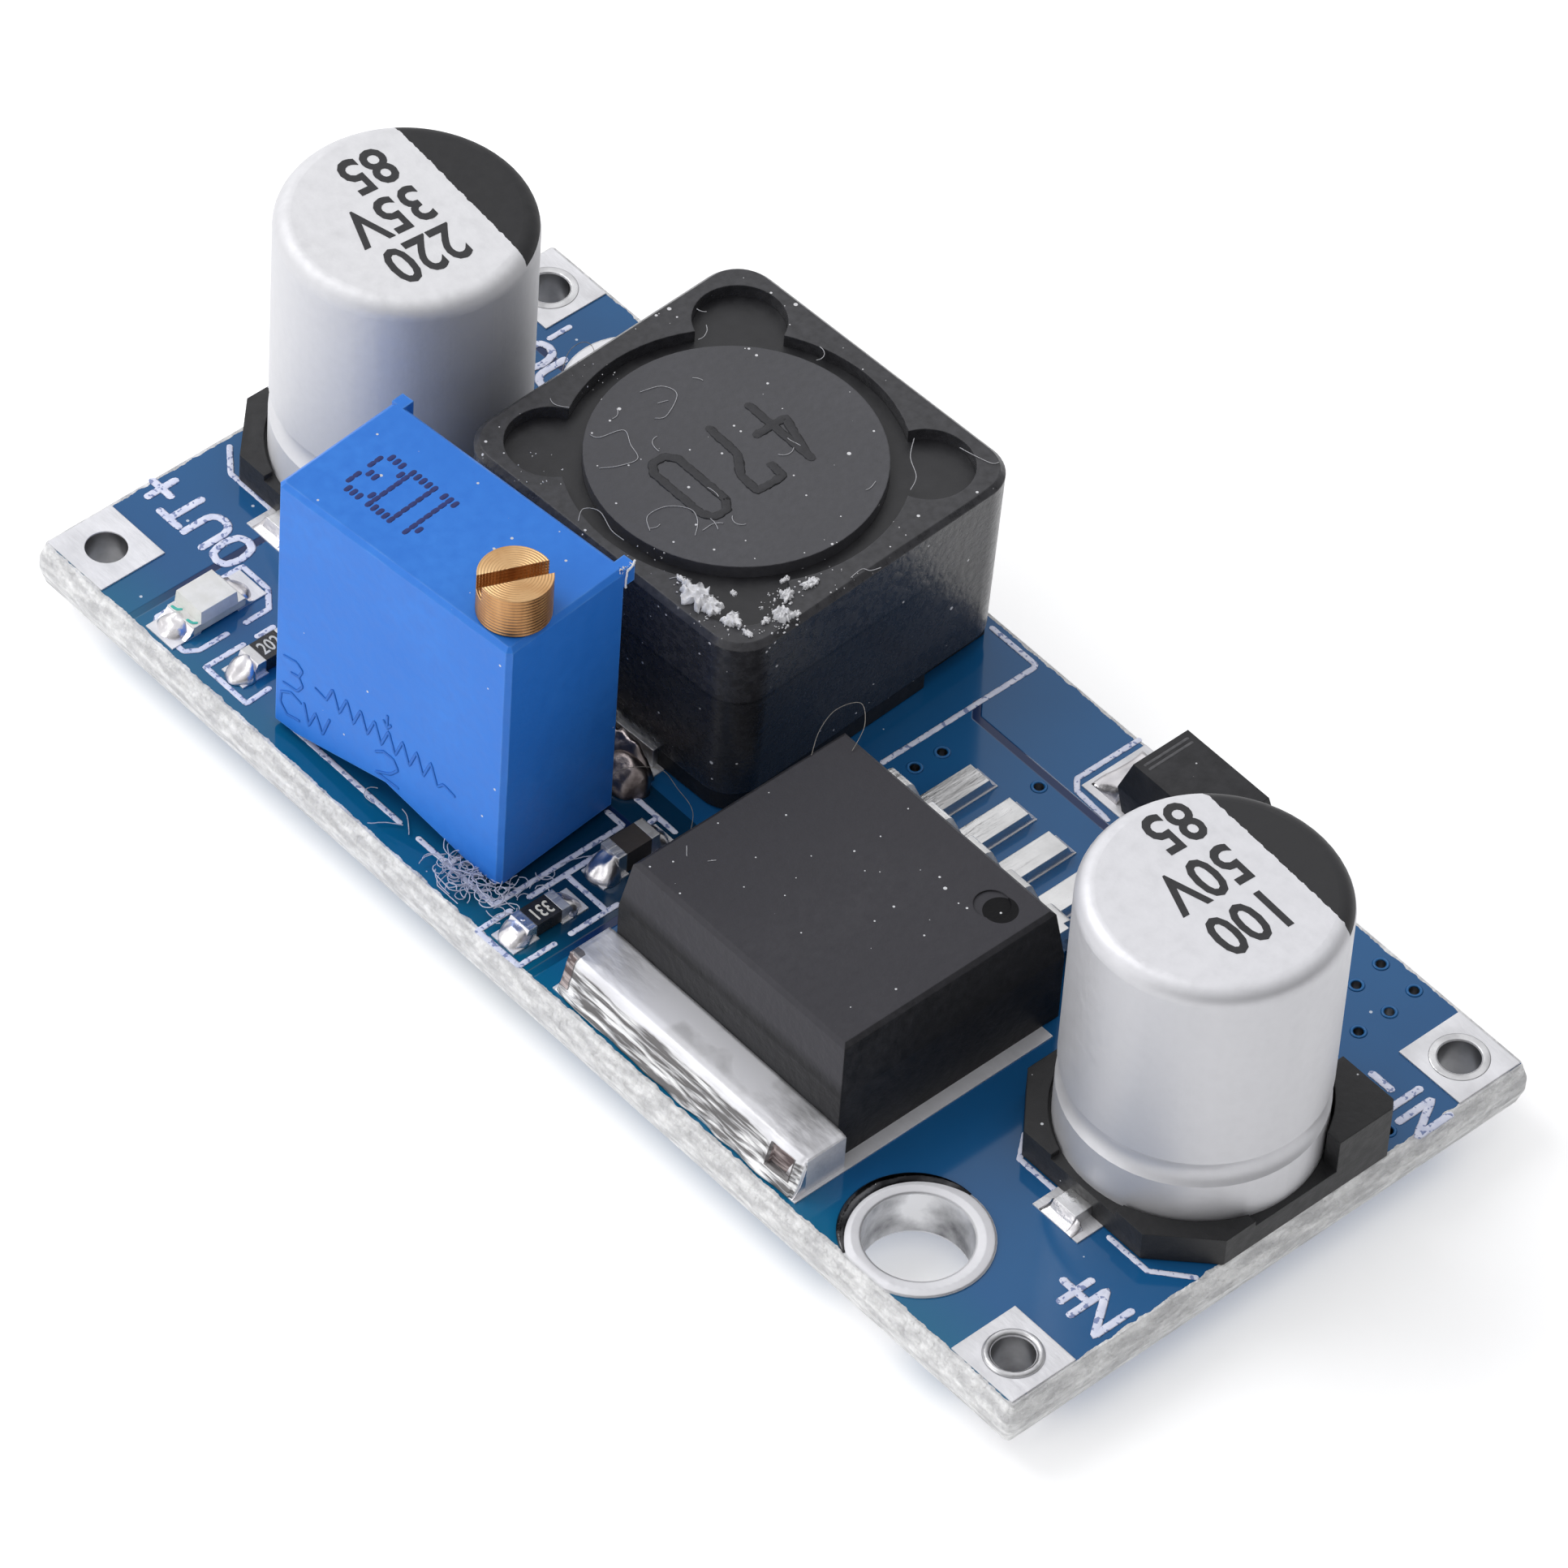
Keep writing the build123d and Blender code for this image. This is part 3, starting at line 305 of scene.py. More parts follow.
GROUP_MAKERS = {
    "Mottle": mottle_group,
    "Streaks": streaks_group,
    "Specks": specks_group,
    "Upward": upward_group,
    "Moat": moat_group,
    "Stroke": stroke_group,
    "Scatter": scatter_group,
}


def group(name):
    return bpy.data.node_groups.get(name) or GROUP_MAKERS[name]()


class Finish:
    """One material with its Principled shader, and short names for the nodes that feed it."""

    def __init__(self, name, **values):
        self.material = bpy.data.materials.new(name)
        self.material.use_nodes = True
        self.tree = self.material.node_tree
        self.place = put(self.tree, "ShaderNodeTexCoord").outputs["Object"]
        self.set(**values)

    def set(self, **values):
        """Feeds the shader's inputs, named in small letters."""
        inputs = self.tree.nodes["Principled BSDF"].inputs
        named = {socket.name.lower().replace(" ", "_"): socket for socket in inputs}
        for name, value in values.items():
            feed(self.tree, named[name], value)

    def finished(self, shade, roughness, height, depth, rounding=0.0):
        """The material, once its colour, roughness and relief are known."""
        self.set(base_color=shade, roughness=roughness)
        bump = put(self.tree, "ShaderNodeBump", {"Height": height, "Distance": depth, "Strength": 1.0})
        if rounding:
            feed(self.tree, bump.inputs["Normal"], self.softened(rounding))
        self.set(normal=bump.outputs[0])
        return self.material

    def softened(self, radius):
        """The normal as it would be with rounded edges."""
        return put(self.tree, "ShaderNodeBevel", {"Radius": radius}, samples=4).outputs[0]

    def shared(self, name, **inputs):
        """A shared group with the given values."""
        return Signal(put(self.tree, "ShaderNodeGroup", inputs, node_tree=group(name)).outputs[0])

    def mottle(self, scale, contrast):
        return self.shared("Mottle", Vector=self.place, Scale=scale, Contrast=contrast)

    def streaks(self, along, scale, contrast):
        return self.shared("Streaks", Vector=self.place, Along=along, Scale=scale, Contrast=contrast)

    def specks(self, scale, size, amount):
        return self.shared("Specks", Vector=self.place, Scale=scale, Size=size, Amount=amount)

    def upward(self):
        return self.shared("Upward")

    def dust(self, scale, size, amount):
        """Specks on what faces up."""
        return self.specks(scale, size, amount) * self.upward()

    def mix(self, factor, first, second):
        """A colour between the first and the second."""
        inputs = {0: factor, 6: first, 7: second}
        return Signal(put(self.tree, "ShaderNodeMix", inputs, data_type="RGBA").outputs[2])

    def worn(self, radius, amount):
        """Broken patches along the sharp edges, where they have been rubbed."""
        true = put(self.tree, "ShaderNodeNewGeometry").outputs["Normal"]
        same = vectors(self.tree, "DOT_PRODUCT", self.softened(radius), true)
        return same.spread(0.86, 0.99, amount, 0.0) * self.mottle(900.0, 0.2)

    def axis(self, index):
        return split(self.tree, self.place)[index]

    def within(self, low, high):
        """One inside the box between two corners, and zero outside it."""
        slabs = [self.axis(i).above(low[i]) * self.axis(i).below(high[i]) for i in range(3)]
        return slabs[0] * slabs[1] * slabs[2]

    def from_axis(self, centre):
        """The distance from an upright line."""
        flat = vectors(self.tree, "MULTIPLY", vectors(self.tree, "SUBTRACT", self.place, centre), (1, 1, 0))
        return vectors(self.tree, "LENGTH", flat)


# Finishes

DUST = colour(0.62, 0.63, 0.65)


def board_finish(sizes):
    """Blue mask over the faces, rough fibreglass round the snapped edge and tinned walls in the holes."""
    made = Finish("board_mask", coat_weight=0.0)
    x, y = made.axis(0), made.axis(1)
    face = abs(facing(made.tree)[2]).above(0.9)
    over = (abs(x) - HALF_LENGTH).highest(abs(y) - HALF_WIDTH)
    crack = made.mottle(2600.0, 0.3).between(0.02 * MM, 0.16 * MM)
    wall = 1.0 - face
    outside = over.above(-0.25 * MM)
    edge = (face * (over + crack).above(0.0)).highest(wall * outside)
    plated = wall * (1.0 - outside)
    # The mask: darker in the gaps between copper areas, greener towards the near edge
    ends = [{"Start": (*start, 0), "End": (*end, 0)} for start, end in MOATS]
    moats = [made.shared("Moat", Vector=made.place, Reach=MOAT_REACH, **pair) for pair in ends]
    gap = reduce(Signal.highest, moats)
    # Painted shade and dark reflection: the mask is darker in boxes between the trimmer and the regulator
    bare = reduce(Signal.highest, [made.within(*zone) for zone in SHADED_ZONES])
    cloud = made.mottle(140.0, 0.25)
    mask = made.mix(cloud, sizes.mask_colour, sizes.mask_light_colour)
    mask = made.mix(bare, mask, sizes.mask_painted_shade_colour)
    mask = made.mix(gap, mask, sizes.mask_gap_colour)
    near = y.spread(-HALF_WIDTH, -HALF_WIDTH + 2.2 * MM, 0.75, 0.0)
    mask = made.mix(near, mask, sizes.mask_edge_colour)
    mask = made.mix(made.dust(2600.0, 0.15, 0.06), mask, colour(0.55, 0.62, 0.72))
    fibre = made.streaks((0.3, 0.3, 1.0), 3600.0, 0.14)
    chips = made.mottle(5200.0, 0.18)
    glass = made.mix(fibre, sizes.fibre_shade_colour, sizes.fibre_colour)
    glass = made.mix(chips * 0.26, glass, colour(0.36, 0.36, 0.34))
    # Tin on the hole walls: dark and light patches as painted reflection, and darker still in the wire holes
    # at the ends as painted shade
    tin = made.mix(made.mottle(620.0, 0.14), colour(0.16, 0.16, 0.17), colour(0.84, 0.84, 0.85))
    at_end = abs(x).above(WIRE_HOLES_FROM)
    tin = made.mix(at_end * 0.8, tin, colour(0.13, 0.13, 0.135))
    made.set(metallic=plated)
    shade = made.mix(plated, made.mix(edge, mask, glass), tin)
    roughness = (edge * 0.85).highest(cloud.between(0.06, 0.11)).highest(plated * 0.3)
    return made.finished(shade, roughness, edge * (fibre + chips) - gap * 0.3 + cloud * 0.03, 0.05 * MM)


def tin_finish(name, shade, light, roughness, streak_scale=900.0, along=(1.0, 4.0, 1.0), metallic=1.0):
    """Tinned metal: streaked where it was drawn or levelled, dull in patches."""
    made = Finish(name, metallic=metallic)
    streak = made.streaks(along, streak_scale, 0.22)
    patch = made.mottle(700.0, 0.16)
    base = made.mix(streak * 0.35, made.mix(patch, shade, light), shade)
    dull = patch.between(roughness + 0.14, roughness - 0.06)
    return made.finished(base, dull, streak + made.mottle(5000.0, 0.3) * 0.5, 0.012 * MM, 0.04 * MM)


def moulding_finish(name, base, pale, roughness, dust=0.12, depth=0.012 * MM, rubbed=None):
    """Moulded plastic: fine grain, paler scuffs and settled dust."""
    made = Finish(name, specular_ior_level=0.32)
    fine = made.mottle(2600.0, 0.2)
    surface = made.mix(made.mottle(260.0, 0.25) * fine, base, pale)
    if rubbed:
        surface = made.mix(made.worn(0.09 * MM, 0.8), surface, rubbed)
    specks = made.dust(3000.0, 0.16, dust * 2).highest(made.specks(2300.0, 0.11, dust))
    surface = made.mix(specks, surface, DUST)
    return made.finished(surface, fine.between(roughness - 0.06, roughness + 0.08), fine, depth, 0.05 * MM)


def epoxy_finish():
    """The regulator's epoxy: a paler band above its parting line, painted light where the drafted face tilts
    up, and a dark pin mark, under dust.
    """
    made = Finish("regulator_epoxy", specular_ior_level=0.14)
    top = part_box("regulator_body")[1].z
    fine = made.mottle(3200.0, 0.22)
    upright = abs(facing(made.tree)[0]).spread(0.3, 0.8, 1.0, 0.0)
    # Painted light: the faces above the parting line are paler, as if lit more where the draft tilts them up
    band = made.axis(2).spread(top - 1.75 * MM, top - 1.3 * MM) * upright
    surface = made.mix(band, colour(0.013, 0.013, 0.014), colour(0.048, 0.047, 0.054))
    surface = made.mix(made.mottle(240.0, 0.25) * fine * 0.5, surface, colour(0.074, 0.073, 0.081))
    mark = made.from_axis(PIN_MARK).below(PIN_MARK_RADIUS)
    surface = made.mix(mark, surface, colour(0.004, 0.004, 0.005))
    white = made.dust(3000.0, 0.13, 0.3).highest(made.dust(1100.0, 0.07, 0.4))
    white = white.highest(made.specks(1500.0, 0.09, 0.1))
    surface = made.mix(white, surface, colour(0.66, 0.67, 0.69))
    return made.finished(surface, fine.between(0.4, 0.56), fine, 0.014 * MM, 0.07 * MM)


def tab_finish(name, notches, roughness):
    """Tin over a copper tab, streaked at its ends, bare and pinkish in the notches cut at its front."""
    made = Finish(name, metallic=0.62)
    low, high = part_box("regulator_tab")
    x, z = made.axis(0), made.axis(2)
    ends = (x - low.x).lowest(high.x - x).spread(1.2 * MM, 3.2 * MM, 1.0, 0.0)
    uneven = z + made.mottle(420.0, 0.3).between(-0.12 * MM, 0.14 * MM)
    foot = uneven.spread(TAB_STREAK_TOP - 0.1 * MM, TAB_STREAK_TOP, 1.0, 0.0)
    rough_part = ends.highest(foot)
    level = made.streaks((0.2, 2.2, 2.2), 2900.0, 0.09)
    streak = made.mix(foot, made.streaks((0.4, 1.1, 0.6), 1900.0, 0.16), level)
    frontal = abs(facing(made.tree)[0]).spread(0.5, 0.9, 1.0, 0.15)
    foot = foot * frontal
    deep = (foot * 1.25).highest(0.42) * frontal
    drawn = streak * rough_part * deep
    patch = made.mottle(200.0, 0.02)
    tin = made.mix(patch, colour(0.70, 0.70, 0.72), colour(0.82, 0.82, 0.85))
    tin = made.mix(foot * (1.0 - streak), tin, colour(0.86, 0.86, 0.86))
    tin = made.mix(drawn * 0.85, tin, colour(0.16, 0.155, 0.155))
    margin = Vector((0.05 * MM, 0.0, 0.05 * MM))
    inside = [made.within(*notch) for notch in notches]
    for cut, (corner, opposite) in zip(inside, notches):
        outline = made.within(corner - margin, opposite + margin) - cut
        tin = made.mix(outline * 0.8, tin, colour(0.07, 0.06, 0.06))
    copper = made.mix(level, colour(0.50, 0.43, 0.42), colour(0.12, 0.09, 0.09))
    surface = made.mix(reduce(Signal.highest, inside), tin, copper)
    sheen = patch.between(roughness, roughness + 0.14)
    return made.finished(surface, sheen, drawn + patch * 0.12, 0.03 * MM, 0.05 * MM)


def ferrite_finish(name, base, pale, roughness, dust, ledge=None):
    """Pressed and fired ferrite: matte, pitted, with dust in it. Above the ledge's height it is paler as
    painted light, with a painted shadow line along the ledge.
    """
    made = Finish(name, specular_ior_level=0.5)
    fine = made.mottle(3600.0, 0.25)
    surface = made.mix(made.mottle(170.0, 0.25) * fine, base, pale)
    if ledge:
        z = made.axis(2)
        # Painted light: the band above the ledge is paler
        paler = made.mix(fine, base, colour(0.054, 0.054, 0.060))
        surface = made.mix(z.spread(ledge, ledge + 0.15 * MM), surface, paler)
        # Painted shadow: a dark line along the ledge
        line = abs(z - ledge).spread(0.0, 0.09 * MM, 1.0, 0.0)
        surface = made.mix(line * 0.6, surface, colour(0.004, 0.004, 0.004))
    white = made.dust(2900.0, 0.15, dust).highest(made.dust(1300.0, 0.09, dust))
    for scale, size, amount in ((1900.0, 0.13, 0.5), (3300.0, 0.17, 0.35)):
        white = white.highest(made.specks(scale, size, dust * amount))
    surface = made.mix(white, surface, colour(0.7, 0.7, 0.72))
    level = made.upward().between(roughness - 0.16, roughness) + fine.between(-0.06, 0.08)
    return made.finished(surface, level, fine - made.specks(2100.0, 0.32, 0.14), 0.012 * MM, 0.06 * MM)


def darker(shade, share):
    return colour(*[channel * share for channel in shade[:3]])


def can_finish(name, node, marking, base, roughness, metal, painted_side_shade):
    """Drawn aluminium under a thin clear film, with the black segment over the negative side of its top. Its
    sides are darker than its top as painted shade.
    """
    made = Finish(name)
    centre = middle(node)
    turn = radians(marking.turn)
    across = Vector((-sin(turn), cos(turn), 0))
    height = vectors(made.tree, "DOT_PRODUCT", vectors(made.tree, "SUBTRACT", made.place, centre), across)
    ragged = made.mottle(4200.0, 0.3).between(-0.05 * MM, 0.05 * MM)
    ink = (height + ragged).above(marking.chord) * made.axis(2).above(centre.z - marking.segment_drop)
    grain = made.mottle(3000.0, 0.3)
    drawn = made.streaks((1.0, 1.0, 0.12), 1500.0, 0.25)
    aluminium = made.mix(drawn * grain, base, darker(base, 0.86))
    aluminium = made.mix(made.specks(420.0, 0.10, 0.06), aluminium, colour(0.2, 0.2, 0.2))
    # Painted shade: the sides are darker than the top
    side = made.mix(0.8, aluminium, darker(base, painted_side_shade))
    surface = made.mix(ink, made.mix(made.upward(), side, aluminium), colour(0.012, 0.012, 0.014))
    made.set(metallic=(1.0 - ink) * metal)
    film = grain.between(roughness - 0.05, roughness + 0.07).highest(ink * 0.5)
    return made.finished(surface, film, grain + drawn, 0.006 * MM)


def brass_finish():
    """Turned brass: rings on the flat faces, and sides darker and browner than the top as painted shade."""
    made = Finish("turned_brass", metallic=1.0)
    rings = (made.from_axis(middle("trimmer_screw")) * (2 * pi / (0.09 * MM))).sine()
    lines = (made.axis(2) * (2 * pi / (0.12 * MM))).sine()
    patch = made.mottle(900.0, 0.2)
    top = made.mix(patch, colour(0.60, 0.34, 0.15), colour(0.84, 0.57, 0.30))
    drawn = made.streaks((1.0, 1.0, 0.15), 1500.0, 0.2)
    # Painted shade: the sides are darker and browner than the top
    sides = made.mix(drawn, colour(0.36, 0.16, 0.055), colour(0.70, 0.40, 0.18))
    surface = made.mix(made.upward(), sides, top)
    return made.finished(surface, patch.between(0.5, 0.36), rings + lines, 0.006 * MM, 0.04 * MM)


def plain_finish(name, base, light, roughness, scale=1400.0, **values):
    """A small part's finish: cloudy colour and a light grain."""
    made = Finish(name, **values)
    cloud = made.mottle(scale, 0.25)
    grain = cloud.between(roughness - 0.05, roughness + 0.07)
    return made.finished(made.mix(cloud, base, light), grain, cloud, 0.01 * MM, 0.03 * MM)


def ink_finish(name, ink, light, roughness=0.55):
    """Printed ink, thin in places."""
    made = Finish(name)
    thin = made.mottle(5200.0, 0.3)
    level = thin.between(roughness, roughness + 0.15)
    return made.finished(made.mix(thin, ink, light), level, thin, 0.01 * MM)


def print_finish():
    """The board's white print: chalky, with the mask showing through where it is thin."""
    made = Finish("white_print", specular_ior_level=0.2)
    thin = made.mottle(2600.0, 0.22)
    gaps = made.mottle(5600.0, 0.1).spread(0.0, 0.18, 0.75, 0.0)
    ink = made.mix(thin, colour(0.66, 0.70, 0.88), colour(0.86, 0.88, 1.0))
    surface = made.mix(gaps, ink, colour(0.08, 0.14, 0.36))
    return made.finished(surface, thin.between(0.75, 0.6), thin, 0.012 * MM)


def solder_finish(name, shade, light, roughness):
    """Wetted solder: bright with frosted grain."""
    made = Finish(name, metallic=1.0)
    patch = made.mottle(1300.0, 0.2)
    frost = patch + made.mottle(5200.0, 0.3) * 0.4
    level = patch.between(roughness + 0.12, roughness)
    return made.finished(made.mix(patch, shade, light), level, frost, 0.014 * MM)


def rim_finish():
    """Tin coloured dark as a painted reflection of its dark surroundings, with painted bright glints."""
    made = Finish("rim_tin", metallic=1.0)
    patch = made.mottle(900.0, 0.15)
    base = made.mix(patch, colour(0.02, 0.02, 0.022), colour(0.13, 0.13, 0.135))
    base = made.mix(made.specks(1900.0, 0.3, 0.2), base, colour(0.8, 0.8, 0.8))
    return made.finished(base, patch.between(0.1, 0.22), patch, 0.03 * MM)


def dress(material, *nodes):
    """Gives CAD nodes their finish on every slot."""
    for name in nodes:
        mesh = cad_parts[name].data
        mesh.materials.clear()
        mesh.materials.append(material)


# Mesh pieces


def piece(name, mesh, material, body=BODY):
    """A finished piece from a mesh that is already in place."""
    mesh.name = name
    mesh.materials.clear()
    mesh.materials.append(material)
    made = bpy.data.objects.new(name, mesh)
    bpy.context.scene.collection.objects.link(made)
    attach(made, body)
    return made


def as_mesh(bm, name):
    """A finished mesh from one that is being drawn."""
    mesh = bpy.data.meshes.new(name)
    bm.to_mesh(mesh)
    bm.free()
    return mesh


def joined(meshes):
    """Several meshes as one."""
    bm = bmesh.new()
    for mesh in meshes:
        bm.from_mesh(mesh)
        bpy.data.meshes.remove(mesh)
    return as_mesh(bm, "joined")


def held(data):
    """A passing object that holds data while it is worked on."""
    holder = bpy.data.objects.new("holder", data)
    bpy.context.scene.collection.objects.link(holder)
    return holder


def baked(holder):
    """The mesh of a passing object with its modifiers. The object goes."""
    bpy.context.view_layer.update()
    mesh = bpy.data.meshes.new_from_object(holder.evaluated_get(bpy.context.evaluated_depsgraph_get()))
    bpy.data.objects.remove(holder)
    return mesh


def run_tree(tree, mesh, **inputs):
    """The mesh that a Geometry Nodes tree makes of another."""
    holder = held(mesh)
    modifier = holder.modifiers.new("nodes", "NODES")
    modifier.node_group = tree
    for item in tree.interface.items_tree:
        if item.item_type == "SOCKET" and item.in_out == "INPUT" and item.name in inputs:
            modifier[item.identifier] = inputs[item.name]
    done = baked(holder)
    bpy.data.meshes.remove(mesh)
    return done


def crumbs(spots, radius, height, count, least, most, material, seed):
    """Crumbs strewn over small round patches, each patch with about the same count."""
    bm = bmesh.new()
    for x, y in spots:
        place = Matrix.Translation((x * MM, y * MM, height))
        bmesh.ops.create_circle(bm, cap_ends=True, segments=9, radius=radius, matrix=place)
    density = count / (pi * radius * radius)
    sizes = {"Density": density, "Least": least, "Most": most, "Lumps": most * LUMPS_SHARE}
    return run_tree(group("Scatter"), as_mesh(bm, "patches"), **sizes, Seed=seed, Material=material)


def strokes(lines, radius, thickness, ink, place=Matrix.Identity(4), ragged=0.0, spacing=0.1 * MM, seed=0.0):
    """Lines of flat ink or thread: each line is a list of points in its own plane, in metres."""
    points, edges = [], []
    for line in lines:
        first = len(points)
        points += [Vector((*point, 0.0)[:3]) for point in line]
        edges += [(first + i, first + i + 1) for i in range(len(line) - 1)]
    wire = bpy.data.meshes.new("wire")
    wire.from_pydata(points, edges, [])
    sizes = {"Radius": radius, "Flatness": thickness / (2 * radius), "Spacing": spacing, "Ragged": ragged}
    made = run_tree(group("Stroke"), wire, **sizes, Seed=seed, Material=ink)
    made.transform(place)
    return made


def lettering(text, height, place, squeeze, weight, thickness=0.01 * MM):
    """Generic figures in the built-in typeface, as a thin mesh, centred on their place."""
    curve = bpy.data.curves.new("lettering", "FONT")
    curve.body = text
    curve.align_x = "CENTER"
    curve.align_y = "CENTER"
    curve.size = height / CAPITAL_SHARE
    curve.extrude = thickness / 2
    curve.offset = weight
    curve.resolution_u = 3
    mesh = baked(held(curve))
    bpy.data.curves.remove(curve)
    mesh.transform(place @ Matrix.Diagonal((squeeze, 1.0, 1.0, 1.0)))
    return mesh


def frame_at(origin, reading, up):
    """The placing of a drawing: its X along reading, its Y along up, its Z out of the surface."""
    reading, up = Vector(reading).normalized(), Vector(up).normalized()
    place = Matrix.Identity(4)
    for column, axis in enumerate((reading, up, reading.cross(up), Vector(origin))):
        for row in range(3):
            place[row][column] = axis[row]
    return place


def smoothed(points, steps=8):
    """A curve through all the points."""
    knots = [Vector(point) for point in (points[0], *points, points[-1])]
    line = []
    for a, b, c, d in zip(knots, knots[1:], knots[2:], knots[3:]):
        for step in range(steps):
            t = step / steps
            bend = (2 * a - 5 * b + 4 * c - d) * t * t + (3 * b - a - 3 * c + d) * t ** 3
            spot = 2 * b + (c - a) * t + bend
            line.append(tuple(spot / 2))
    return line + [tuple(points[-1])]


def curled(random, start, length, curl, rise=0.0, step=0.08 * MM):
    """A loose fibre's course: it wanders about its heading, near the surface it lies on."""
    heading = random.uniform(0, 2 * pi)
    bend = random.uniform(-curl, curl)
    spot = Vector(start)
    line = [tuple(spot)]
    for _ in range(max(3, int(length / step))):
        bend = max(-curl, min(curl, bend + random.uniform(-0.35, 0.35) * curl))
        heading += bend
        lift = random.uniform(-0.4, 0.45) * rise
        spot = spot + Vector((cos(heading) * step, sin(heading) * step, lift * step))
        spot.z = max(spot.z, start[2] - 0.02 * MM)
        line.append(tuple(spot))
    return line


# Small parts with a plain finish: its name, two shades, its roughness and what else it is given

PLAIN_FINISHES = {
    "choke_resin": ("cast_resin", (0.012, 0.012, 0.014), (0.025, 0.025, 0.028), 0.4, {}),
    "choke_winding": ("copper_wire", (0.45, 0.16, 0.06), (0.62, 0.26, 0.11), 0.3, {"metallic": 1.0}),
    "trimmer_potting": ("potting_resin", (0.04, 0.09, 0.25), (0.06, 0.12, 0.32), 0.45, {}),
    "trimmer_element": ("white_ceramic", (0.75, 0.74, 0.70), (0.88, 0.87, 0.84), 0.55, {}),
    "trimmer_wheel": ("natural_nylon", (0.66, 0.64, 0.56), (0.8, 0.78, 0.7), 0.5, {}),
    "trimmer_wiper": ("spring_bronze", (0.60, 0.45, 0.22), (0.75, 0.6, 0.34), 0.3, {"metallic": 1.0}),
    "trimmer_seal": ("seal_rubber", (0.22, 0.05, 0.03), (0.3, 0.08, 0.05), 0.6, {}),
    "feedback_resistor_body": ("black_glaze", (0.01, 0.01, 0.011), (0.03, 0.03, 0.03), 0.25, {}),
    "filter_capacitor_body": ("fired_ceramic", (0.03, 0.026, 0.024), (0.06, 0.05, 0.045), 0.5, {}),
    "lamp_substrate": ("pale_laminate", (0.6, 0.6, 0.52), (0.75, 0.75, 0.68), 0.5, {}),
    "lamp_lens": ("lamp_resin", (0.74, 0.73, 0.68), (0.86, 0.85, 0.82), 0.32, {"scale": 2600.0}),
}


def dress_plainly(nodes):
    """Gives CAD nodes their plain finishes."""
    for node in nodes:
        name, base, light, roughness, more = PLAIN_FINISHES[node]
        dress(plain_finish(name, colour(*base), colour(*light), roughness, **more), node)


# Places and sizes that the drawings and finishes refer to

TRIMMER_TURN = 4.8
TRIMMER_CENTRE = Vector((-7.15 * MM, -6.68 * MM, 0))
TRIMMER_HALF_DEPTH = 2.436 * MM
TRIMMER_VALUE_AT = (-8.92 * MM, -7.09 * MM)
PIN_MARK = Vector((10.35 * MM, -0.65 * MM, 0))
PIN_MARK_RADIUS = 0.53 * MM
SHIELD_BAND = 2.5 * MM
FIXING_HOLES = ((15.35 * MM, -8.0 * MM), (-15.35 * MM, 8.0 * MM))
RING_SPAN = (1.655 * MM, 2.24 * MM)
RING_RISE = 0.012 * MM
RIM_ARC = (radians(96), radians(246))
RIM_HALF_WIDTH = 0.2 * MM
RIM_RISE = 0.1 * MM
VIA_SPAN = (0.15 * MM, 0.27 * MM)
VIA_RISE = 0.03 * MM
COLLAR_SPAN = (0.67 * MM, 0.92 * MM)
WIRE_HOLES_FROM = 19.0 * MM
WIRE_HOLES = {
    (20.25 * MM, -8.8 * MM): 0.1 * MM,
    (20.25 * MM, 8.8 * MM): 0.02 * MM,
    (-20.25 * MM, 8.8 * MM): 0.02 * MM,
}

# The studio, in metres

KEY_LIGHT_AT = Vector((-0.26, -0.10, 0.36))
SIDE_LIGHT_AT = Vector((-0.12, -0.40, 0.16))
LIGHT_WIDTH = 0.24
LIGHTS_AIM = Vector((0, 0, 5 * MM))

# The section of the tab's solder from the epoxy forward and down to its land, y and z in millimetres

TAB_PROFILE = (
    (-7.9, 3.91),
    (-8.3, 3.91),
    (-8.7, 3.91),
    (-9.1, 3.91),
    (-9.35, 3.88),
    (-9.5, 3.78),
    (-9.6, 3.56),
    (-9.68, 3.26),
    (-9.76, 2.98),
    (-9.86, 2.76),
    (-9.95, 2.62),
)
TAB_STREAK_TOP = 3.78 * MM
FILM_INSET = 0.03 * MM
FILM_ENDS = 2.6 * MM
FILM_FOOT = 3.55 * MM
FILM_END_TOP = 3.87 * MM
FILM_FLOOR = 2.56 * MM
NOTCH_RIM = 0.26 * MM

# Where the vias are, in millimetres

VIAS = (
    (16.16, 9.55),
    (17.53, 9.59),
    (16.3, 8.42),
    (17.67, 8.45),
    (17.65, 7.22),
    (20.95, 5.25),
    (1.8, 5.2),
    (1.75, 4.15),
    (4.65, 6.5),
    (-16.65, -9.6),
)

# Board print: the size of its strokes, and glyphs drawn in a square of one by one

LINE_RADIUS = 0.1 * MM
LABEL_RADIUS = 0.135 * MM
INK_THICKNESS = 0.03 * MM
CAPITAL_SHARE = 0.72
BOWL = [(0.5 - 0.5 * cos(a * pi / 6), 0.3 - 0.3 * sin(a * pi / 6)) for a in range(1, 6)]
SQUARED = [1.15 if step % 8 in (2, 6) else 1.0 for step in range(17)]
OVAL = [(0.5 + 0.5 * cos(a * pi / 8), 0.5 + 0.5 * sin(a * pi / 8) * by) for a, by in enumerate(SQUARED)]
GLYPHS = {
    "I": [[(0.5, 0), (0.5, 1)]],
    "N": [[(0, 0), (0, 1), (1, 0), (1, 1)]],
    "T": [[(0, 1), (1, 1)], [(0.5, 1), (0.5, 0)]],
    "U": [[(0, 1), (0, 0.3), *BOWL, (1, 0.3), (1, 1)]],
    "O": [OVAL],
    "+": [[(0, 0.5), (1, 0.5)], [(0.5, 0.08), (0.5, 0.92)]],
    "-": [[(0, 0.5), (1, 0.5)]],
}


def millimetres(lines):
    return [[tuple(number * MM for number in point) for point in line] for line in lines]


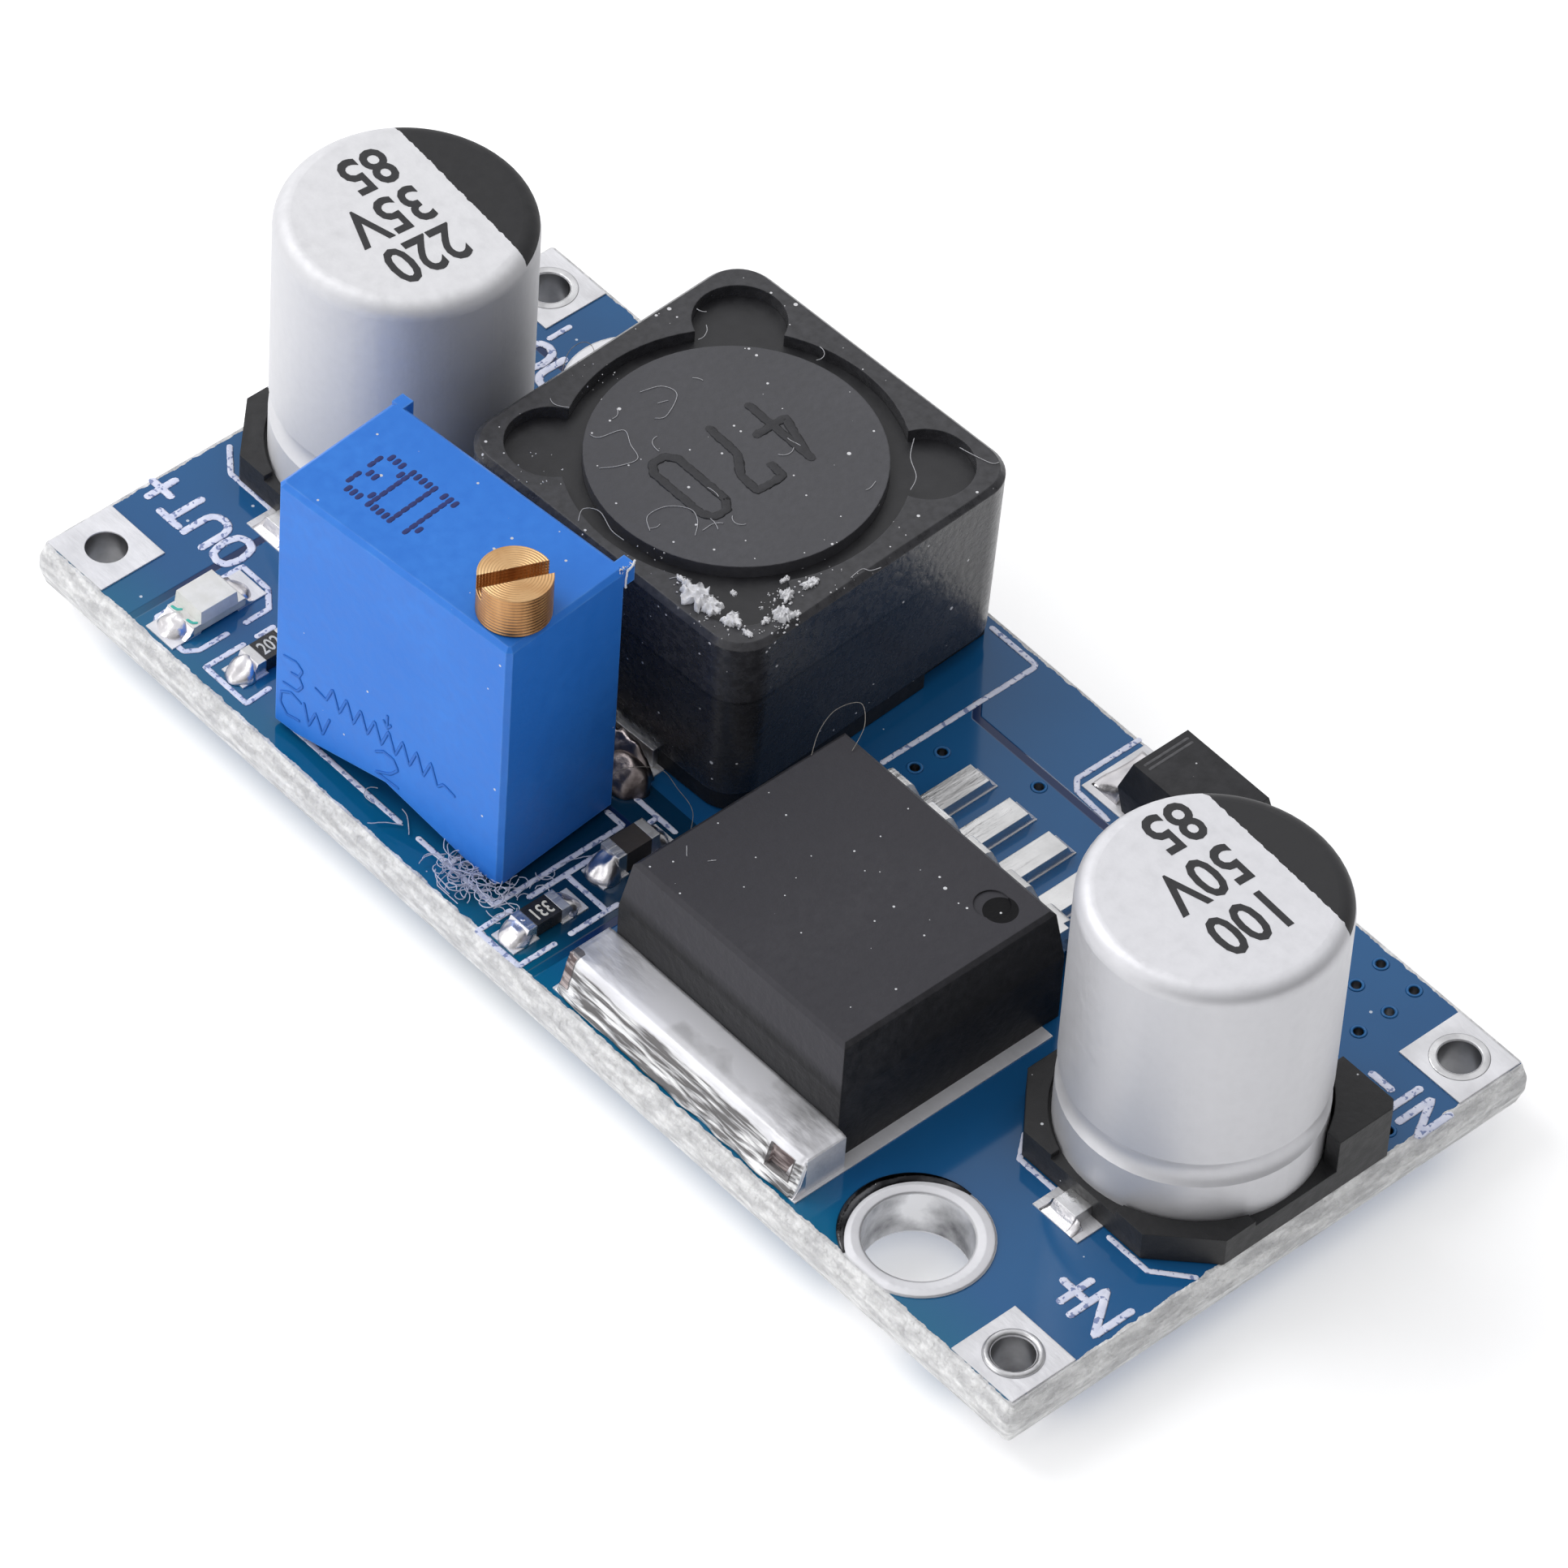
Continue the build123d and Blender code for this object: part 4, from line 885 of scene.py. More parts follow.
def written(text, origin, reading, up, width, height, gap):
    """Stroke lettering: one line of glyphs from its lower left corner."""
    origin, reading, up = Vector(origin), Vector(reading), Vector(up)
    lines = []
    for index, letter in enumerate(text):
        corner = origin + reading * index * (width + gap)
        for stroke in GLYPHS[letter]:
            lines.append([corner + reading * x * width + up * y * height for x, y in stroke])
    return lines


# Areas of the mask: boxes darkened with painted shade and dark reflection, and the gaps between areas of
# copper

SHADED_ZONES = (
    ((-3.2 * MM, -10.3 * MM, 0.0), (0.75 * MM, -2.4 * MM, 3.0 * MM)),
    ((0.5 * MM, -4.15 * MM, 0.0), (2.4 * MM, -1.6 * MM, 3.0 * MM)),
)
MOAT_REACH = 0.16 * MM
MOATS = [
    ((1.4 * MM, 6.95 * MM), (12.0 * MM, 6.95 * MM)),
    ((12.0 * MM, 6.95 * MM), (13.2 * MM, 5.6 * MM)),
    ((13.2 * MM, 5.6 * MM), (18.6 * MM, 5.6 * MM)),
    ((1.4 * MM, 6.95 * MM), (1.0 * MM, 7.35 * MM)),
    ((-2.75 * MM, -4.0 * MM), (0.9 * MM, -4.0 * MM)),
    ((0.75 * MM, -6.4 * MM), (0.75 * MM, -10.0 * MM)),
    ((-17.6 * MM, -4.9 * MM), (-17.6 * MM, -10.0 * MM)),
    ((-21.4 * MM, 6.9 * MM), (-13.4 * MM, 6.9 * MM)),
    ((-12.3 * MM, -4.4 * MM), (-12.3 * MM, -7.0 * MM)),
]


def board_lines():
    """The outlines printed on the board's upper face."""
    lines = [
        [(-2.5, -3.1), (-0.8, -3.1)],
        [(-1.55, -3.1), (-1.55, -3.4)],
        [(-2.65, -4.12), (-1.96, -4.12), (-1.96, -9.11), (-5.35, -9.13)],
        [(-4.03, -9.13), (-4.03, -8.65)],
        [(-6.2, -9.15), (-11.5, -9.15), (-11.5, -8.4)],
        [(-1.55, -5.2), (-1.55, -8.1)],
        [(-1.55, -6.7), (0.3, -6.7)],
        [(0.3, -6.3), (0.3, -8.1)],
        [(0.3, -8.75), (0.3, -10.1), (-1.5, -10.15), (-1.5, -8.9)],
        [(-21.2, -3.2), (-20.3, -3.9), (-18.4, -3.9)],
        [(-17.1, -7.0), (-17.1, -6.1), (-15.9, -6.1), (-15.25, -6.6), (-15.25, -7.5)],
        [(-15.25, -8.25), (-15.25, -9.3), (-15.5, -9.7), (-16.2, -9.7)],
        [(-17.1, -8.6), (-17.1, -9.4), (-16.9, -9.65)],
        [(-14.6, -7.0), (-14.6, -7.6)],
        [(-14.6, -8.15), (-14.6, -9.6), (-12.7, -9.6), (-12.75, -8.7)],
        [(14.4, -3.0), (15.0, -3.75), (16.5, -3.75)],
        [(18.8, -3.75), (20.4, -3.75), (21.45, -2.85)],
        [(21.3, 4.5), (21.5, 4.2)],
        [(-1.0, 9.77), (0.9, 9.77), (1.0, 9.67), (1.0, 3.55)],
        [(5.14, 10.1), (5.12, 7.6), (5.49, 7.26), (6.9, 7.18)],
        [(-18.6, 7.4), (-18.6, 8.2)],
    ]
    return millimetres(lines)


def board_labels():
    """The wire holes' labels."""
    lines = written("OUT+", (-17.35, -5.3), (-1, 0), (0, -1), 0.85, 1.25, 0.27)
    lines += written("N+", (21.2, -5.15), (-1, 0), (0, -1), 1.0, 1.4, 0.05)
    lines += written("-IN", (19.1, 5.75), (1, 0), (0, 1), 0.75, 1.3, 0.15)
    lines += written("OUT", (-18.75, 5.9), (1, 0), (0, 1), 0.85, 1.25, 0.27)
    return millimetres(lines)


# Joints: lumps give x, y, half sizes, height and lean, slopes give start, end, outward, reach and height

SOLDER_LUMPS = (
    (-0.62, -9.42, 0.55, 0.56, 0.44, 0.5),
    (-0.62, -7.54, 0.5, 0.42, 0.36, -0.5),
    (-0.88, -5.78, 0.56, 0.58, 0.62, 0.5),
    (-0.88, -3.84, 0.5, 0.46, 0.5, -0.5),
    (-16.42, -9.34, 0.52, 0.48, 0.34, 0.5),
    (-16.39, -6.88, 0.52, 0.32, 0.24, -0.5),
    (-13.72, -8.94, 0.52, 0.52, 0.44, 0.5),
    (-13.72, -6.78, 0.44, 0.32, 0.34, -0.5),
)
SOLDER_SLOPES = (
    ((16.75, -4.2), (18.15, -4.2), (0, -1), 0.42, 0.32),
    ((-18.15, -4.45), (-16.75, -4.45), (0, -1), 0.42, 0.32),
    ((6.66, 7.75), (6.66, 9.85), (-1, 0), 1.1, 0.6),
    ((11.28, 9.85), (11.28, 7.75), (1, 0), 1.1, 0.6),
    ((-9.2, 9.7), (-3.6, 9.7), (0, 1), 0.3, 0.4),
)

# Dust: the scale of its grain, and how lumpy a crumb is for its size

FINE = 9000.0
LUMPS_SHARE = 0.75

# Where crumbs and hairs lie, in millimetres

CRUMB_HEAPS = (
    (-3.1, -1.15),
    (-2.65, -1.2),
    (-2.3, -1.05),
    (-1.95, -1.1),
    (-1.7, -1.5),
    (-1.15, -0.9),
    (-1.1, 0.45),
    (-1.0, 0.95),
    (-0.85, 1.7),
    (-0.3, 0.35),
    (-0.3, 0.0),
)
FLAKES = (
    (-2.55, -1.1, 0.55, 0.36, 0.28),
    (-2.05, -1.05, 0.4, 0.27, 0.22),
    (-1.23, -0.92, 0.27, 0.22, 0.2),
    (-0.45, 0.38, 0.27, 0.26, 0.24),
    (-0.98, 0.98, 0.18, 0.2, 0.16),
    (-0.58, -0.89, 0.17, 0.08, 0.08),
    (-0.6, -0.16, 0.1, 0.14, 0.1),
    (-0.92, 1.89, 0.14, 0.28, 0.12),
    (-1.5, 1.4, 0.07, 0.16, 0.07),
    (-2.02, -0.15, 0.12, 0.08, 0.07),
    (-3.27, -0.97, 0.3, 0.09, 0.1),
    (-0.25, 0.75, 0.1, 0.16, 0.08),
)
CRUMB_STRAYS = (
    (-2.4, -1.3),
    (-0.7, 0.4),
    (-0.6, -0.7),
    (-4.6, -1.3),
    (-0.8, 2.6),
    (-11.3, 2.5),
    (-9.5, -1.3),
)
NUB_CRUMBS = ((-2.68, -3.66), (-2.68, -3.9), (-2.66, -4.1))
NUB_SCUFF = [
    (-2.75, -3.5, 12.79),
    (-2.62, -3.72, 12.79),
    (-2.6, -3.92, 12.74),
    (-2.59, -3.96, 12.45),
    (-2.59, -3.97, 12.1),
]
FIBRE_STRAYS = ((-5.6, -9.3), (-6.0, -9.2), (-7.2, -9.3), (-1.9, -6.6), (-2.1, -7.4))
DISC_HAIRS = [
    [(-9.94, 3.14), (-9.72, 3.8), (-9.18, 3.93), (-8.71, 3.1), (-8.85, 2.76)],
    [(-9.53, 0.82), (-9.28, 0.97), (-9.06, 1.72), (-8.48, 1.49), (-7.91, 1.27), (-8.04, 0.64), (-8.32, 0.14)],
    [(-5.48, -0.38), (-5.96, -0.05), (-5.91, 0.64), (-5.39, 1.12), (-4.89, 0.97), (-4.5, 0.53)],
    [(-7.09, -1.76), (-7.37, -1.33), (-6.99, -1.02), (-6.19, -1.25), (-5.67, -1.23)],
    [(-3.4, 8.2), (-2.9, 7.6), (-2.2, 7.2), (-1.9, 6.7)],
    [(-2.27, 9.0), (-1.83, 9.1), (-1.2, 9.3), (-1.1, 9.5)],
    [(-0.35, 2.95), (-0.4, 3.43), (-0.2, 3.58), (-0.1, 3.9)],
]
HAIRS = [
    [
        (2.43, -0.89, 7.08), (1.86, -0.07, 7.09), (1.68, 0.73, 7.3),
        (2.01, 1.4, 7.4), (2.68, 0.95, 7.3), (3.06, 0.14, 7.1),
    ],
    [
        (-3.0, -4.0, 2.6), (-3.1, -3.4, 3.4), (-2.3, -2.5, 3.6),
        (-1.5, -2.4, 3.3), (-0.7, -2.5, 3.0), (-0.1, -3.3, 2.6),
    ],
    [
        (0.4, -3.9, 2.6), (0.2, -2.9, 2.62), (0.6, -2.2, 2.9),
        (0.5, -1.6, 3.4), (0.3, -1.2, 3.0),
    ],
    [
        (-14.49, 4.1, 6.0), (-15.11, 4.97, 6.2), (-15.07, 5.57, 6.3),
        (-14.62, 5.58, 6.2), (-13.95, 4.77, 6.0), (-13.81, 3.84, 5.8),
    ],
]

# Figures with a shape of their own, in millimetres from a point on what they stand on

CHOKE_FIGURES = [
    [(-1.65, -1.3), (-1.65, 1.45)],
    [(-1.65, 1.3), (-2.15, -0.25), (-1.05, -0.25)],
    [(-0.55, 0.95), (-0.5, 1.5), (0.5, 1.5), (0.45, 0.7), (-0.05, 0.0), (-0.1, -1.3)],
    [(1.45, 1.15), (1.7, 1.5), (2.15, 1.5), (2.4, 1.15), (2.4, -0.95)]
    + [(2.15, -1.3), (1.7, -1.3), (1.45, -0.95), (1.45, 1.15)],
]
SHORT_ROW_SHIFT = -0.55
DIODE_BAND = [[(x, -0.85), (x, 0.85)] for x in (-1.5, -1.3)]
LAMP_SIGN = [[(x - 0.13, -0.06), (x + 0.05, -0.04), (x + 0.13, 0.07)] for x in (-0.36, 0.36)]
WIRING_SIGN = [
    [(-4.27, 5.75), (-3.75, 5.85), (-3.5, 5.65), (-3.65, 5.3), (-3.95, 5.25)],
    [(-3.65, 5.3), (-3.48, 5.0), (-3.7, 4.65), (-4.27, 4.6)],
    [(-3.55, 4.25), (-3.95, 4.4), (-4.35, 4.15), (-4.4, 3.7), (-4.1, 3.35), (-3.6, 3.45)],
    [(-3.4, 4.35), (-3.2, 3.55), (-2.92, 4.3), (-2.62, 3.6), (-2.35, 4.45)],
    [(-2.95, 5.35), (-2.5, 5.2)]
    + [(-2.25 + 0.29 * step, 5.85 if step % 2 == 0 else 5.05) for step in range(16)]
    + [(2.35, 5.35), (2.8, 5.2)],
    [(0.0, 6.45), (0.0, 5.95)],
    [(-0.14, 6.15), (0.0, 5.93), (0.14, 6.15)],
    [(-0.42, 4.6), (-0.1, 4.85), (0.3, 4.82), (0.5, 4.5), (0.2, 4.1), (-0.42, 3.75), (0.52, 3.75)],
]

# Dot-matrix figures: their dots, how far apart the dots are, and the gap between figures in dots

DOT_FIGURES = {
    "1": ("..#..", ".##..", "..#..", "..#..", "..#..", "..#..", ".###."),
    "0": ("#####", "#...#", "#...#", "#...#", "#...#", "#...#", "#####"),
    "3": (".###.", "#...#", "....#", "..##.", "....#", "#...#", ".###."),
}
DOT_PITCH = (0.222 * MM, 0.295 * MM)
DOT_GAP = 0.85


def dot_lines(text):
    """A dot-matrix marking as short strokes, one for each dot, centred."""
    pitch_x, pitch_y = DOT_PITCH
    width = (len(text) * 5 - 1 + (len(text) - 1) * (DOT_GAP - 1)) * pitch_x
    lines = []
    for index, letter in enumerate(text):
        for row, dots in enumerate(DOT_FIGURES[letter]):
            for column, dot in enumerate(dots):
                if dot == "#":
                    x = (index * (4 + DOT_GAP) + column) * pitch_x - width / 2
                    y = (3 - row) * pitch_y
                    lines.append([(x, y - pitch_y * 0.27), (x, y + pitch_y * 0.27)])
    return lines


# Shapes made from a height field


def wobble(x, y, z):
    """Smooth noise at a point."""
    return noise.noise(Vector((x, y, z)))


def on_disc(u, v):
    """A point of the unit square carried onto the unit disc."""
    p, q = 2 * u - 1, 2 * v - 1
    return p * (1 - q * q / 2) ** 0.5, q * (1 - p * p / 2) ** 0.5


def pave(bm, first, second):
    """Four-sided faces between two rows of corners."""
    for corners in zip(first, second, second[1:], first[1:]):
        bm.faces.new(corners)


def relief(steps, spot, floor):
    """A closed lump from a height field: spot(u, v) is its surface, with u and v from 0 to 1."""
    across, along = steps
    bm = bmesh.new()
    rows = [[bm.verts.new(spot(i / across, j / along)) for j in range(along + 1)] for i in range(across + 1)]
    for first, second in zip(rows, rows[1:]):
        pave(bm, first, second)
    rim = [edge for edge in bm.edges if edge.is_boundary]
    walls = bmesh.ops.extrude_edge_only(bm, edges=rim)
    for item in walls["geom"]:
        if isinstance(item, bmesh.types.BMVert):
            item.co.z = floor
    bottom = [edge for edge in bm.edges if edge.is_boundary]
    bmesh.ops.contextual_create(bm, geom=bottom)
    bmesh.ops.recalc_face_normals(bm, faces=bm.faces)
    for face in bm.faces:
        face.smooth = len(face.verts) == 4
    return as_mesh(bm, "relief")


def blob(x, y, half_x, half_y, height, lean, seed):
    """A lump of solder, in millimetres: steep at its rim, uneven on top, leaning towards +Y."""

    def spot(u, v):
        p, q = on_disc(u, v)
        reach = (1 + 0.16 * wobble(p * 1.3, q * 1.3, seed)) * MM
        lump = (1 - min(1.0, p * p + q * q) ** 1.6) ** 0.6
        uneven = 1 + 0.2 * wobble(p * 1.7 + 9, q * 1.7, seed) + lean * q
        rise = 0.03 + height * lump * uneven
        return Vector((x * MM + half_x * p * reach, y * MM + half_y * q * reach, DECK + rise * MM))

    return relief((20, 20), spot, DECK + 0.01 * MM)


def flake(x, y, half_x, half_y, height, floor, seed):
    """A flat broken bit of chalk, in millimetres, with a ragged outline and a rough top."""

    def spot(u, v):
        p, q = on_disc(u, v)
        ragged = 1 + 0.75 * wobble(p * 2.1, q * 2.1, seed) + 0.3 * wobble(p * 6, q * 6, seed)
        wall = min(1.0, 4 * (1 - min(1.0, p * p + q * q))) ** 0.5
        rough = 0.75 + 0.8 * wobble(p * 3.5, q * 3.5, seed + 9)
        rise = 0.01 + height * wall * rough
        return Vector(((x + half_x * p * ragged) * MM, (y + half_y * q * ragged) * MM, floor + rise * MM))

    return relief((22, 22), spot, floor)


def fillet(start, end, out, reach, height, seed, rough=0.1):
    """A wetted slope along a foot from start to end, in millimetres, hollow as it falls outward."""
    start, end, out = Vector((*start, 0)), Vector((*end, 0)), Vector((*out, 0))
    length = (end - start).length

    def spot(u, v):
        wave = wobble(u * length * 0.9, v * 2, seed)
        fine = wobble(u * length * 3, v * 6, seed + 5)
        flank = 1 - abs(2 * u - 1) ** 9
        fall = (1 - v) ** 1.6 * height * (1 + 0.3 * wave) * flank
        rise = 0.055 + fall + rough * height * fine * flank * (1 - v)
        place = start.lerp(end, u) + out * (reach * v * (1 + 0.18 * wave))
        return Vector((place.x * MM, place.y * MM, DECK + max(rise, 0.052) * MM))

    return relief((max(12, int(length / 0.12)), 12), spot, DECK + 0.01 * MM)


def bead(centre, radius, half_width, arc, crown, floor):
    """A bead of tin along part of a hole's rim, tapered at both ends."""
    first, last = arc

    def spot(u, v):
        turn = first + (last - first) * u
        taper = max(0.04, sin(pi * u)) ** 0.5
        uneven = 1 + 0.25 * wobble(u * 9, v, 3.0)
        out = radius + half_width * (2 * v - 1) * taper
        z = floor + 0.004 * MM + crown * taper * uneven * max(0.0, 1 - (2 * v - 1) ** 2) ** 0.6
        return Vector((centre[0] + out * cos(turn), centre[1] + out * sin(turn), z))

    return relief((40, 8), spot, floor)


def tab_film(first_x, last_x, notch):
    """The solder over the tab: nearly level on top, rippled in front, with a rim round its notch."""
    width = last_x - first_x
    low, high = notch

    def spot(u, v):
        x = first_x + FILM_INSET + (width - 2 * FILM_INSET) * u
        share = v * (len(TAB_PROFILE) - 1)
        index = min(int(share), len(TAB_PROFILE) - 2)
        (y_a, z_a), (y_b, z_b) = TAB_PROFILE[index], TAB_PROFILE[index + 1]
        y = (y_a + (y_b - y_a) * (share - index)) * MM
        z = (z_a + (z_b - z_a) * (share - index)) * MM
        # How far the film stands out, in millimetres: streaked at its ends, lumpy at its foot
        ends = max(0.0, 1 - min(x - first_x, last_x - x) / FILM_ENDS)
        foot = max(0.0, (FILM_FOOT - z) / MM) * 1.6
        streak = wobble(x / MM * 0.9, y / MM * 5, z / MM * 5)
        lump = wobble(x / MM * 1.3, y / MM * 5, z / MM * 5 + 7)
        swell = wobble(x / MM * 0.45, z / MM * 0.6, 3.0)
        out = 0.03 + 0.035 * swell + 0.025 * ends * streak + 0.08 * min(1.0, foot) * lump
        # The notch is sunk, inside a raised rim
        beside = max(low.x - x, x - high.x, low.z - z, z - high.z)
        rim = max(0.0, 1 - max(beside, 0.0) / NOTCH_RIM)
        out = out * (1 - rim) + (-0.14 if beside < 0 else 0.07 * rim)
        # The film sinks back at both ends
        edge = min(u, 1 - u) * width
        out = out if edge > 0.1 * MM else min(out, 0.02)
        sunk = 1 - min(1.0, edge / (0.9 * MM))
        steep = min(1.0, v * 1.6)
        y += sunk * 0.09 * MM * steep
        z -= sunk * max(0.0, z - FILM_END_TOP)
        return Vector((x, y - out * steep * MM, z + out * (1 - steep * 0.6) * MM))

    return relief((210, 44), spot, FILM_FLOOR)


def dome_ring(centre, inner, outer, crown, floor, steps=48, profile=8, flat=2.5):
    """An annulus of tin round a hole: domed, or level between rounded rims where flat is high."""
    bm = bmesh.new()
    rows = []
    for i in range(steps):
        turn = 2 * pi * i / steps
        row = []
        for j in range(profile + 1):
            share = j / profile
            radius = inner + (outer - inner) * share
            z = floor + crown * (1 - abs(2 * share - 1) ** flat)
            row.append(bm.verts.new((centre[0] + radius * cos(turn), centre[1] + radius * sin(turn), z)))
        rows.append(row)
    neighbours = list(zip(rows, rows[1:] + rows[:1]))
    for first, second in neighbours:
        pave(bm, first, second)
    for first, second in neighbours:
        bm.faces.new((first[0], second[0], second[-1], first[-1]))
    bmesh.ops.recalc_face_normals(bm, faces=bm.faces)
    for face in bm.faces:
        face.smooth = True
    return as_mesh(bm, "dome")


def clipped(mesh, limit):
    """Cut off flat beyond the board's snapped edges."""
    bm = bmesh.new()
    bm.from_mesh(mesh)
    for side in (-1, 1):
        whole = bm.verts[:] + bm.edges[:] + bm.faces[:]
        plane = {"plane_co": (0, side * limit, 0), "plane_no": (0, side, 0)}
        cut = bmesh.ops.bisect_plane(bm, geom=whole, **plane, clear_outer=True)
        rim = [item for item in cut["geom_cut"] if isinstance(item, bmesh.types.BMEdge)]
        bmesh.ops.holes_fill(bm, edges=rim, sides=0)
    bm.to_mesh(mesh)
    bm.free()
    return mesh


# Sizes and colours that a user would change


class ModuleBoardSettings(bpy.types.PropertyGroup):
    mask_colour: FloatVectorProperty(
        name="Mask",
        description="Solder mask over copper",
        subtype="COLOR",
        size=4,
        default=(0.008, 0.085, 0.235, 1),
    )
    mask_light_colour: FloatVectorProperty(
        name="Mask, thin",
        description="Solder mask where it is thin",
        subtype="COLOR",
        size=4,
        default=(0.011, 0.11, 0.29, 1),
    )
    mask_gap_colour: FloatVectorProperty(
        name="Mask, bare",
        description="Solder mask over bare laminate",
        subtype="COLOR",
        size=4,
        default=(0.004, 0.022, 0.095, 1),
    )
    # The colour of the painted shade and dark reflection on the mask between the trimmer and the regulator
    mask_painted_shade_colour: FloatVectorProperty(
        name="Mask, painted shade",
        description="Solder mask darkened with painted shade and dark reflection",
        subtype="COLOR",
        size=4,
        default=(0.0015, 0.034, 0.085, 1),
    )
    mask_edge_colour: FloatVectorProperty(
        name="Mask, lit edge",
        description="Mask where light comes through the edge",
        subtype="COLOR",
        size=4,
        default=(0.0, 0.13, 0.24, 1),
    )
    fibre_colour: FloatVectorProperty(
        name="Fibreglass",
        description="Snapped laminate",
        subtype="COLOR",
        size=4,
        default=(0.92, 0.92, 0.92, 1),
    )
    fibre_shade_colour: FloatVectorProperty(
        name="Fibreglass, deep",
        description="Between the fibres",
        subtype="COLOR",
        size=4,
        default=(0.60, 0.60, 0.61, 1),
    )


class ModuleMarkingSettings(bpy.types.PropertyGroup):
    turn: FloatProperty(name="Turn", description="Turn of the can's marking, degrees", default=-3.0)
    chord: FloatProperty(
        name="Chord",
        description="From the can's axis to the black segment",
        default=2.15 * MM,
        unit="LENGTH",
        precision=5,
    )
    rows: FloatVectorProperty(
        name="Rows",
        description="Heights of the three rows, millimetres",
        default=(1.38, -0.62, -2.62),
    )
    start: FloatProperty(
        name="Start",
        description="Shift of the rows along their reading, millimetres",
        default=0.0,
    )
    segment_drop: FloatProperty(
        name="Segment drop",
        description="How far the segment runs over the edge",
        default=0.35 * MM,
        unit="LENGTH",
        precision=5,
    )


class ModuleStageSettings(bpy.types.PropertyGroup):
    camera_place: FloatVectorProperty(
        name="Camera",
        description="Where the camera stands",
        default=(0.154797, -0.153064, 0.240405),
        unit="LENGTH",
        precision=5,
    )
    camera_turn: FloatVectorProperty(
        name="Camera turn",
        description="The camera's turn, XYZ degrees",
        default=(42.4645, -2.8676, 48.3613),
    )
    floor_glow: FloatProperty(
        name="Floor glow",
        description="Light that the white table gives of its own",
        default=0.3,
    )
    camera_lens: FloatProperty(name="Lens", description="Focal length, millimetres", default=250.37)
    key_power: FloatProperty(name="Key", description="Power of the large light, watts", default=0.55)
    side_power: FloatProperty(name="Side", description="Power of the side light, watts", default=0.25)
    bright_side: FloatVectorProperty(
        name="Bright side",
        description="Where the soft light is brightest",
        default=(-0.72, -0.1, 0.69),
    )
    world_light: FloatProperty(
        name="Bright",
        description="Strength of the soft light on its bright side",
        default=0.9,
    )
    dark_light: FloatProperty(
        name="Dark",
        description="Strength of the soft light on its dark side",
        default=0.1,
    )


SETTINGS = {
    "module_board": ModuleBoardSettings,
    "module_input_marking": ModuleMarkingSettings,
    "module_output_marking": ModuleMarkingSettings,
    "module_stage": ModuleStageSettings,
}


# Operators, one for each group of pieces


class ModuleOperator:
    """What every operator of this file shares."""

    bl_options = {"REGISTER", "UNDO"}

    def execute(self, context):
        self.make(context.scene)
        return {"FINISHED"}


class ModuleBoard(ModuleOperator, bpy.types.Operator):
    """Finish the board, its lands and the tin round its holes"""

    bl_idname = "module.board"
    bl_label = "Board"

    def make(self, scene):
        dress(board_finish(scene.module_board), "circuit_board")
        pair = (colour(0.72, 0.72, 0.74), colour(0.90, 0.90, 0.93))
        pads = tin_finish("levelled_tin", *pair, 0.5, metallic=0.55)
        dress(pads, "wire_pads", "component_pads", "pin_hole_plating", "mounting_hole_rings")
        pair = (colour(0.80, 0.80, 0.83), colour(0.92, 0.92, 0.95))
        ring = plain_finish("ring_tin", *pair, 0.6, scale=700.0, metallic=0.1)
        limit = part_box("mounting_hole_rings")[1].y
        rings = [dome_ring(hole, *RING_SPAN, RING_RISE, LAND_TOP, flat=14) for hole in FIXING_HOLES]
        piece("fixing_hole_tin", clipped(joined(rings), limit), ring)
        # A tin bead on part of the fixing hole's rim, coloured as a painted dark reflection with painted
        # glints
        rim = bead(FIXING_HOLES[0], RING_SPAN[1], RIM_HALF_WIDTH, RIM_ARC, RIM_RISE, LAND_TOP)
        piece("fixing_hole_rim", clipped(rim, limit), rim_finish())
        pair = (colour(0.02, 0.13, 0.34), colour(0.03, 0.17, 0.42))
        low_rim = moulding_finish("via_rim_mask", *pair, 0.15, dust=0.0)
        holes = millimetres([VIAS])[0]
        vias = [dome_ring(hole, *VIA_SPAN, VIA_RISE, DECK, steps=20, profile=4) for hole in holes]
        piece("via_rims", joined(vias), low_rim)
        bright = solder_finish("collar_tin", colour(0.45, 0.45, 0.46), colour(0.86, 0.86, 0.87), 0.25)
        collars = [dome_ring(hole, *COLLAR_SPAN, rise, LAND_TOP) for hole, rise in WIRE_HOLES.items()]
        piece("wire_hole_collars", joined(collars), bright)


class ModulePrint(ModuleOperator, bpy.types.Operator):
    """Print the outlines and labels on the board"""

    bl_idname = "module.print"
    bl_label = "Board print"

    def make(self, scene):
        ink = print_finish()
        edges = {"ragged": 0.05 * MM, "spacing": 0.06 * MM}
        place = Matrix.Translation((0, 0, DECK + 0.012 * MM))
        lines = strokes(board_lines(), LINE_RADIUS, INK_THICKNESS, ink, place, **edges)
        labels = strokes(board_labels(), LABEL_RADIUS, INK_THICKNESS, ink, place, **edges, seed=2.0)
        piece("board_print", joined([lines, labels]), ink)


